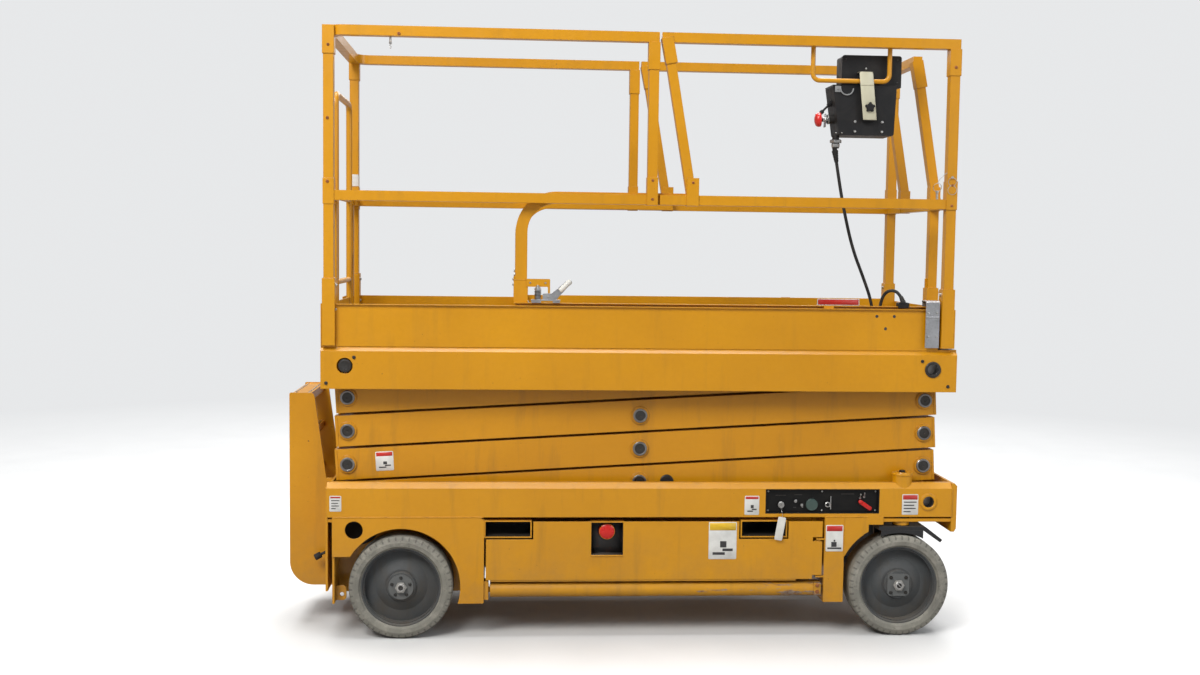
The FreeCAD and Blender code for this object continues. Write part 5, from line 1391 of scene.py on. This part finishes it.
@dataclass
class PlatformFittings:
    """Latch spring and grip, strap rivets, toe board holes and beam screws."""

    def build(self) -> None:
        """Fit platform and sliding deck."""
        self.latch()
        self.strap()
        self.screws()

    def latch(self) -> None:
        """Spring, pivot, bracket bolts and white grip of the deck latch."""
        x, y = -0.328, -0.3635
        steel, spring, grip = Smith(), Smith(), Smith()
        turns, n = 6.0, 96
        spring.sweep([(x + 0.0118 * math.cos(math.tau * turns * k / n),
                       y + 0.0118 * math.sin(math.tau * turns * k / n),
                       1.2525 + 0.0310 * k / n) for k in range(n + 1)], 0.0013, 7)
        spring.done("latch_spring", Finish.DARK, "extension")
        steel.bolt((-0.290, -0.3690, 1.2620), (0.0, -1.0, 0.0), 0.0050, False)
        steel.turn(((0.0060, 0.0), (0.0060, 0.006), (0.0042, 0.0085), (0.0, 0.009)),
                   (x, y, 1.2960), (0.0, 0.0, 1.0), 20)
        for bx in (-0.356, -0.300):
            steel.bolt((bx, -0.3590, 1.3125), (0.0, -1.0, 0.0), 0.0042, False)
        for bx in (-0.345, -0.262):
            steel.bolt((bx, y, 1.2510), (0.0, 0.0, 1.0), 0.0038, False)
        steel.done("latch_bolts", Finish.BRIGHT, "extension")
        a, b = Vector((-0.2465, -0.368, 1.2855)), Vector((-0.2080, -0.368, 1.3205))
        long = (b - a).length
        grip.turn(((0.0070, -0.002), (0.0092, 0.0), (0.0098, 0.004), (0.0094, long * 0.5),
                   (0.0102, long - 0.006), (0.0088, long - 0.001), (0.0040, long + 0.002),
                   (0.0, long + 0.002)), tuple(a), tuple((b - a).normalized()), 22)
        grip.done("latch_grip", Finish.IVORY, "extension")

    def strap(self) -> None:
        """Rivets in the toe strap."""
        rivets = Smith()
        for x in (1.120, 1.152):
            for z in (1.218, 1.130):
                rivets.screw((x, -0.4010, z), (0.0, -1.0, 0.0), 0.0042)
        rivets.done("strap_rivets", Finish.BRIGHT, "extension")

    def screws(self) -> None:
        """Painted shade for the holes in the near toe board, as dark discs, and screws of the side
        beams.
        """
        holes, screws = Smith(), Smith()
        # painted shade: the dark discs stand for the holes, dark from the shade behind them
        for x, z in ((0.930, 1.203), (0.996, 1.203), (0.964, 1.157)):
            for side in (-1, 1):
                holes.turn(((0.0058, 0.0), (0.0056, 0.0004), (0.0, 0.0004)),
                           (x, side * 0.384, z), (0.0, float(side), 0.0), 20)
        for side in (-1, 1):
            out = (0.0, float(side), 0.0)
            for x, z in ((1.105, 1.037), (1.204, 0.943), (-1.090, 0.943), (-0.990, 1.037)):
                screws.bolt((x, side * 0.394, z), out, 0.0058)
            screws.turn(((0.0298, -0.0010), (0.0298, 0.0006), (0.0284, 0.0020), (0.0210, 0.0020),
                         (0.0202, 0.0006), (0.0202, -0.0010)), (1.145, side * 0.3968, 1.006),
                        out, 44, True)
        holes.done("toe_holes", Finish.INK, "platform")
        screws.done("beam_screws", Finish.DARK, "platform")


@dataclass
class UpperBox:
    """Stop button, stick boot, hook plate, knob, lug and screws of the upper box."""

    def build(self) -> None:
        """Fit the upper control box."""
        self.stop()
        self.stick()
        self.hook()
        self.case()

    def stop(self) -> None:
        """Red mushroom button on its stalk."""
        stop, collar = Smith(), Smith()
        axis = (-1.0, 0.0, -0.06)
        stop.turn(((0.0130, -0.004), (0.0255, -0.0015), (0.0268, 0.0030), (0.0266, 0.0085),
                   (0.0225, 0.0150), (0.0130, 0.0188), (0.0, 0.0198)),
                  (0.7195, -0.290, 1.9312), axis, 40)
        stop.done("stop_button", Finish.RED, "extension")
        collar.turn(((0.0084, -0.026), (0.0088, -0.0245), (0.0088, 0.0), (0.0084, 0.0005)),
                    (0.7300, -0.290, 1.9315), axis, 24)
        collar.turn(((0.0180, 0.0), (0.0186, 0.0012), (0.0186, 0.0042), (0.0150, 0.0060),
                     (0.0090, 0.0062)), (0.7520, -0.290, 1.9330), axis, 30)
        collar.press(rounded(0.030, 0.052, 0.004), (0.7400, -0.290, 1.9290), (0.0, -1.0, 0.0),
                     (0.05, 0.0, 1.0), 0.0022, 0.0005)
        collar.done("stop_bracket", Finish.BRIGHT, "extension")

    def stick(self) -> None:
        """Bellows boot and knob of the drive stick."""
        boot = Smith()
        axis = Vector((-49.0, 0.0, -51.0)).normalized()
        boot.turn(((0.0150, 0.0), (0.0155, 0.003), (0.0118, 0.0055), (0.0138, 0.008),
                   (0.0098, 0.0105), (0.0115, 0.013), (0.0074, 0.0155), (0.0088, 0.018),
                   (0.0046, 0.0200), (0.0040, 0.0200)), (0.7630, -0.285, 1.9975), tuple(axis), 28)
        boot.turn(((0.0044, -0.012), (0.0072, -0.009), (0.0082, -0.003), (0.0070, 0.003),
                   (0.0, 0.0048)), (0.7240, -0.285, 1.9570), tuple(axis), 22)
        boot.done("stick_boot", Finish.GUM, "extension")

    def hook(self) -> None:
        """Cream hook plate over the hanger with its clamp knob."""
        plate, knob = Smith(), Smith()
        plate.press(((0.8445, 2.0955), (0.8625, 1.9265), (0.9135, 1.9265), (0.8955, 2.0955),
                     (0.8915, 2.1003), (0.8860, 2.1015), (0.8535, 2.1015), (0.8475, 2.1003)),
                    (0.0, -0.3660, 0.0), (1.0, 0.0, 0.0), (0.0, 0.0, 1.0), 0.0009, 0.0003)
        plate.sweep([(0.8490, -0.3668, 2.0530), (0.9002, -0.3668, 2.0530)], 0.0016, 8)
        plate.block((0.8445, -0.3668, 2.0998), (0.8955, -0.3302, 2.1010), 0.0003)
        plate.done("hook_plate", Finish.CREAM, "extension")
        knob.turn(((0.0138, 0.0), (0.0142, 0.0015), (0.0142, 0.0085), (0.0120, 0.0112),
                   (0.0050, 0.0118), (0.0, 0.0105)), (0.886, -0.3667, 1.972),
                  (0.0, -1.0, 0.0), 24)
        for k in range(5):
            t = math.tau * k / 5.0 + 0.3
            knob.turn(((0.0048, 0.0012), (0.0052, 0.0024), (0.0052, 0.0080), (0.0036, 0.0100),
                       (0.0, 0.0104)), (0.886 + 0.0140 * math.cos(t), -0.3667,
                                        1.972 + 0.0140 * math.sin(t)), (0.0, -1.0, 0.0), 16)
        knob.done("clamp_knob", Finish.BOX, "extension")

    def case(self) -> None:
        """Screws, rivets, gasket line, lug and gland nut."""
        screws, gasket, lug, nut = Smith(), Smith(), Smith(), Smith()
        bright = Smith()
        for x, z, r in ((0.838, 1.9210, 0.0052), (0.940, 1.9210, 0.0052), (0.838, 1.8850, 0.0052),
                        (0.940, 1.8850, 0.0052), (0.768, 1.8790, 0.0026), (0.790, 1.8790, 0.0026)):
            bright.screw((x, -0.3447, z), (0.0, -1.0, 0.0), r)
        bright.screw((0.878, -0.3300, 2.118), (0.0, -1.0, 0.0), 0.0036)
        bright.done("box_rivets", Finish.BRIGHT, "extension")
        for x, z in ((0.802, 2.150), (0.996, 2.150), (0.802, 2.068), (0.996, 2.068)):
            screws.screw((x, -0.3300, z), (0.0, -1.0, 0.0), 0.0036)
            screws.screw((x, -0.2500, z), (0.0, 1.0, 0.0), 0.0036)
        screws.done("box_screws", Finish.DARK, "extension")
        line = ((0.7525, -0.3440, 2.0535), (0.9915, -0.3440, 2.0535), (0.9915, -0.2257, 2.0535),
                (0.7525, -0.2257, 2.0535))
        gasket.sweep(line, 0.0016, 8, True)
        gasket.done("box_gasket", Finish.GUM, "extension")
        lug.block((0.7597, -0.3494, 2.0277), (0.7823, -0.3400, 2.0503), 0.0012)
        lug.screw((0.7710, -0.3494, 2.0390), (0.0, -1.0, 0.0), 0.0040)
        lug.ring((0.804, -0.3496, 2.042), (0.0, -1.0, 0.0), 0.0240, 0.0026, 22, 0.0,
                 (180.0, 360.0))
        lug.done("ring_lug", Finish.GREY, "extension")
        nut.turn(((0.0222, 0.0), (0.0222, 0.0095), (0.0205, 0.0115), (0.0, 0.0115)),
                 (0.781, -0.290, 1.8460), (0.0, 0.0, 1.0), 6)
        nut.turn(((0.0152, 0.0), (0.0158, 0.003), (0.0158, 0.012), (0.0140, 0.014),
                  (0.0, 0.014)), (0.781, -0.290, 1.8300), (0.0, 0.0, 1.0), 10)
        nut.done("gland_nut", Finish.BRIGHT, "extension")


def decals() -> list[Decal]:
    """The blank plates, by where they sit."""
    near, far = (0.0, -1.0, 0.0), (0.0, 1.0, 0.0)
    rows = (
        ("tray", "tray_near", (0.368, -0.3912, 0.362), (0.105, 0.140), near,
         Finish.FILM_YELLOW, 0.20, "sign", 0.0),
        ("tray_far", "tray_far", (0.368, 0.3912, 0.362), (0.105, 0.140), far,
         Finish.FILM_YELLOW, 0.20, "sign", 0.0),
        ("pillar", "chassis", (0.7905, -0.3912, 0.370), (0.066, 0.100), near,
         Finish.FILM_RED, 0.20, "block", 0.0),
        ("pillar_far", "chassis", (0.7905, 0.3912, 0.370), (0.066, 0.100), far,
         Finish.FILM_RED, 0.20, "block", 0.0),
        ("beam_left", "chassis", (0.4755, -0.3902, 0.4945), (0.055, 0.072), near,
         Finish.FILM_RED, 0.13, "sign", 0.0),
        ("beam_right", "chassis", (1.0755, -0.3902, 0.4975), (0.062, 0.078), near,
         Finish.FILM_RED, 0.22, "bars", 0.0),
        ("beam_right_far", "chassis", (1.0755, 0.3902, 0.4975), (0.062, 0.078), far,
         Finish.FILM_RED, 0.22, "bars", 0.0),
        ("beam_rear", "chassis", (-1.0575, -0.3902, 0.501), (0.043, 0.058), near,
         Finish.FILM_RED, 0.10, "bars", 0.0),
        ("beam_rear_far", "chassis", (-1.0575, 0.3902, 0.501), (0.043, 0.058), far,
         Finish.FILM_RED, 0.10, "bars", 0.0),
        ("arm", "outer_2", (-0.888, -0.3062, 0.6445), (0.066, 0.072), near,
         Finish.FILM_RED, 0.20, "sign", -0.0575),
        ("rear_plate", "chassis", (-1.0942, 0.290, 0.330), (0.090, 0.060), (-1.0, 0.0, 0.0),
         Finish.INK, 0.12, "bars", 0.0),
    )
    return [Decal(*row) for row in rows]


@dataclass
class DeckWarning:
    """Red plate with a white border on the far sliding toe board."""

    low: Point = (0.880, 0.3548, 1.2090)
    high: Point = (1.063, 0.3548, 1.2372)

    def build(self) -> None:
        """Lay border and field."""
        w, h = self.high[0] - self.low[0], self.high[2] - self.low[2]
        middle = ((self.low[0] + self.high[0]) / 2.0, self.low[1], (self.low[2] + self.high[2]) / 2.0)
        for name, finish, shrink, rise in (("border", Finish.FILM, 0.0, 0.0),
                                           ("field", Finish.FILM_RED, 0.006, 0.0004)):
            plate = Smith()
            plate.press(rounded(w - shrink, h - shrink, 0.003), (middle[0], middle[1] - rise, middle[2]),
                        (1.0, 0.0, 0.0), (0.0, 0.0, 1.0), 0.0005, 0.0002)
            plate.done("deck_warning_" + name, finish, "extension")


@dataclass
class Studio:
    """Camera, lamps, floor and backdrop."""

    eye: Point = (-0.422, -5.1145, 1.4551)
    turn_deg: Point = (-3.905, -4.094, -0.761)
    focal_px: float = 1297.7
    frame_px: Flat = (1200.0, 675.0)
    floor_size: float = 60.0

    def camera(self) -> bpy.types.Object:
        """Place the camera at the photograph's angle and return it."""
        yaw, pitch, roll = (math.radians(a) for a in self.turn_deg)
        turn = (Matrix.Rotation(yaw, 3, "Z") @ Matrix.Rotation(pitch, 3, "X")
                @ Matrix.Rotation(roll, 3, "Y"))
        basis = Matrix((turn.col[0], turn.col[2], -turn.col[1])).transposed()
        data = bpy.data.cameras.new("camera")
        data.sensor_width = 36.0
        data.lens = self.focal_px * 36.0 / self.frame_px[0]
        data.clip_start = 0.1
        data.clip_end = 200.0
        camera = bpy.data.objects.new("camera", data)
        camera.matrix_world = Matrix.Translation(self.eye) @ basis.to_4x4()
        bpy.context.scene.collection.objects.link(camera)
        bpy.context.scene.camera = camera
        return camera

    def floor(self) -> None:
        """Lay a flat pale floor that fades into the pale surround away from the machine."""
        mesh = bpy.data.meshes.new("floor")
        half = self.floor_size / 2.0
        bm = bmesh.new()
        corners = [bm.verts.new((x, y, 0.0)) for x, y in
                   ((-half, -half), (half, -half), (half, half), (-half, half))]
        bm.faces.new(corners)
        bm.to_mesh(mesh)
        bm.free()
        mesh.materials.append(Concrete().material())
        floor = bpy.data.objects.new("floor", mesh)
        bpy.context.scene.collection.objects.link(floor)

    def world(self) -> None:
        """A pale even surround."""
        world = bpy.data.worlds.new("world")
        bpy.context.scene.world = world
        world.use_nodes = True
        tree = world.node_tree
        tree.nodes.clear()
        out = tree.nodes.new("ShaderNodeOutputWorld")
        path = tree.nodes.new("ShaderNodeLightPath")
        seen = tree.nodes.new("ShaderNodeMath")
        seen.operation = "MAXIMUM"
        tree.links.new(path.outputs["Is Camera Ray"], seen.inputs[0])
        tree.links.new(path.outputs["Is Transmission Ray"], seen.inputs[1])
        light = tree.nodes.new("ShaderNodeBackground")
        light.inputs["Color"].default_value = (0.93, 0.95, 1.0, 1.0)
        light.inputs["Strength"].default_value = 0.31
        pale = tree.nodes.new("ShaderNodeBackground")
        pale.inputs["Color"].default_value = (*PALE, 1.0)
        pale.inputs["Strength"].default_value = 1.0
        mix = tree.nodes.new("ShaderNodeMixShader")
        tree.links.new(seen.outputs[0], mix.inputs[0])
        tree.links.new(light.outputs[0], mix.inputs[1])
        tree.links.new(pale.outputs[0], mix.inputs[2])
        tree.links.new(mix.outputs[0], out.inputs["Surface"])

    def lamp(self, name: str, place: Point, target: Point, size: float, power: float,
             colour: Colour = (1.0, 1.0, 1.0)) -> None:
        """Hang one soft area lamp.

        Args:
            name: The lamp's name.
            place: Where it hangs.
            target: What it points at.
            size: Edge of the square lamp.
            power: Watts.
            colour: Its tint.
        """
        data = bpy.data.lights.new(name, "AREA")
        data.shape = "SQUARE"
        data.size = size
        data.energy = power
        data.color = colour
        lamp = bpy.data.objects.new(name, data)
        lamp.location = place
        aim = Vector(target) - Vector(place)
        lamp.rotation_mode = "QUATERNION"
        lamp.rotation_quaternion = aim.to_track_quat("-Z", "Y")
        bpy.context.scene.collection.objects.link(lamp)

    def ceiling(self, strength: float, spread_deg: float) -> None:
        """Light from straight above that is as strong at every height."""
        data = bpy.data.lights.new("top", "SUN")
        data.energy = strength
        data.angle = math.radians(spread_deg)
        lamp = bpy.data.objects.new("top", data)
        lamp.location = (0.0, 0.0, 14.0)
        lamp.rotation_euler = (math.radians(-8.0), 0.0, 0.0)
        bpy.context.scene.collection.objects.link(lamp)

    def build(self) -> None:
        """Make the whole studio."""
        bpy.context.scene.view_settings.view_transform = "Standard"
        self.camera()
        self.floor()
        self.world()
        centre = (0.0, 0.0, 1.0)
        self.lamp("key", (-3.0, -4.8, 5.8), centre, 3.0, 470.0, (1.0, 0.98, 0.95))
        self.lamp("fill", (4.8, -4.2, 3.6), centre, 3.5, 105.0, (0.94, 0.97, 1.0))
        self.lamp("back", (1.0, 5.5, 5.0), centre, 4.0, 210.0)
        self.ceiling(3.6, 36.0)


def main() -> None:
    """Build the studio and dress the machine, piece by piece."""
    logging.basicConfig(level=logging.INFO, format="%(name)s: %(message)s")
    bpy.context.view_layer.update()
    wheels = [WheelFittings(end, side, x) for end, x in (("rear", -0.82), ("front", 1.04))
              for side in (-1, 1)]
    steps: list[tuple[str, Callable[[], None]]] = [
        ("studio", Studio().build), ("solids", Dressing().apply),
        ("cable", ControlCable().build), ("stack", StackFittings().build),
        ("chassis", ChassisFittings().build), ("panel", GroundPanel().build),
        ("rails", RailFittings().build), ("platform", PlatformFittings().build),
        ("upper box", UpperBox().build), ("deck warning", DeckWarning().build)]
    steps += [("wheel", wheel.build) for wheel in wheels]
    steps += [("decal " + decal.name, decal.build) for decal in decals()]
    for title, step in steps:
        step()
        LOG.info("built %s", title)


if __name__ == "__main__":
    main()
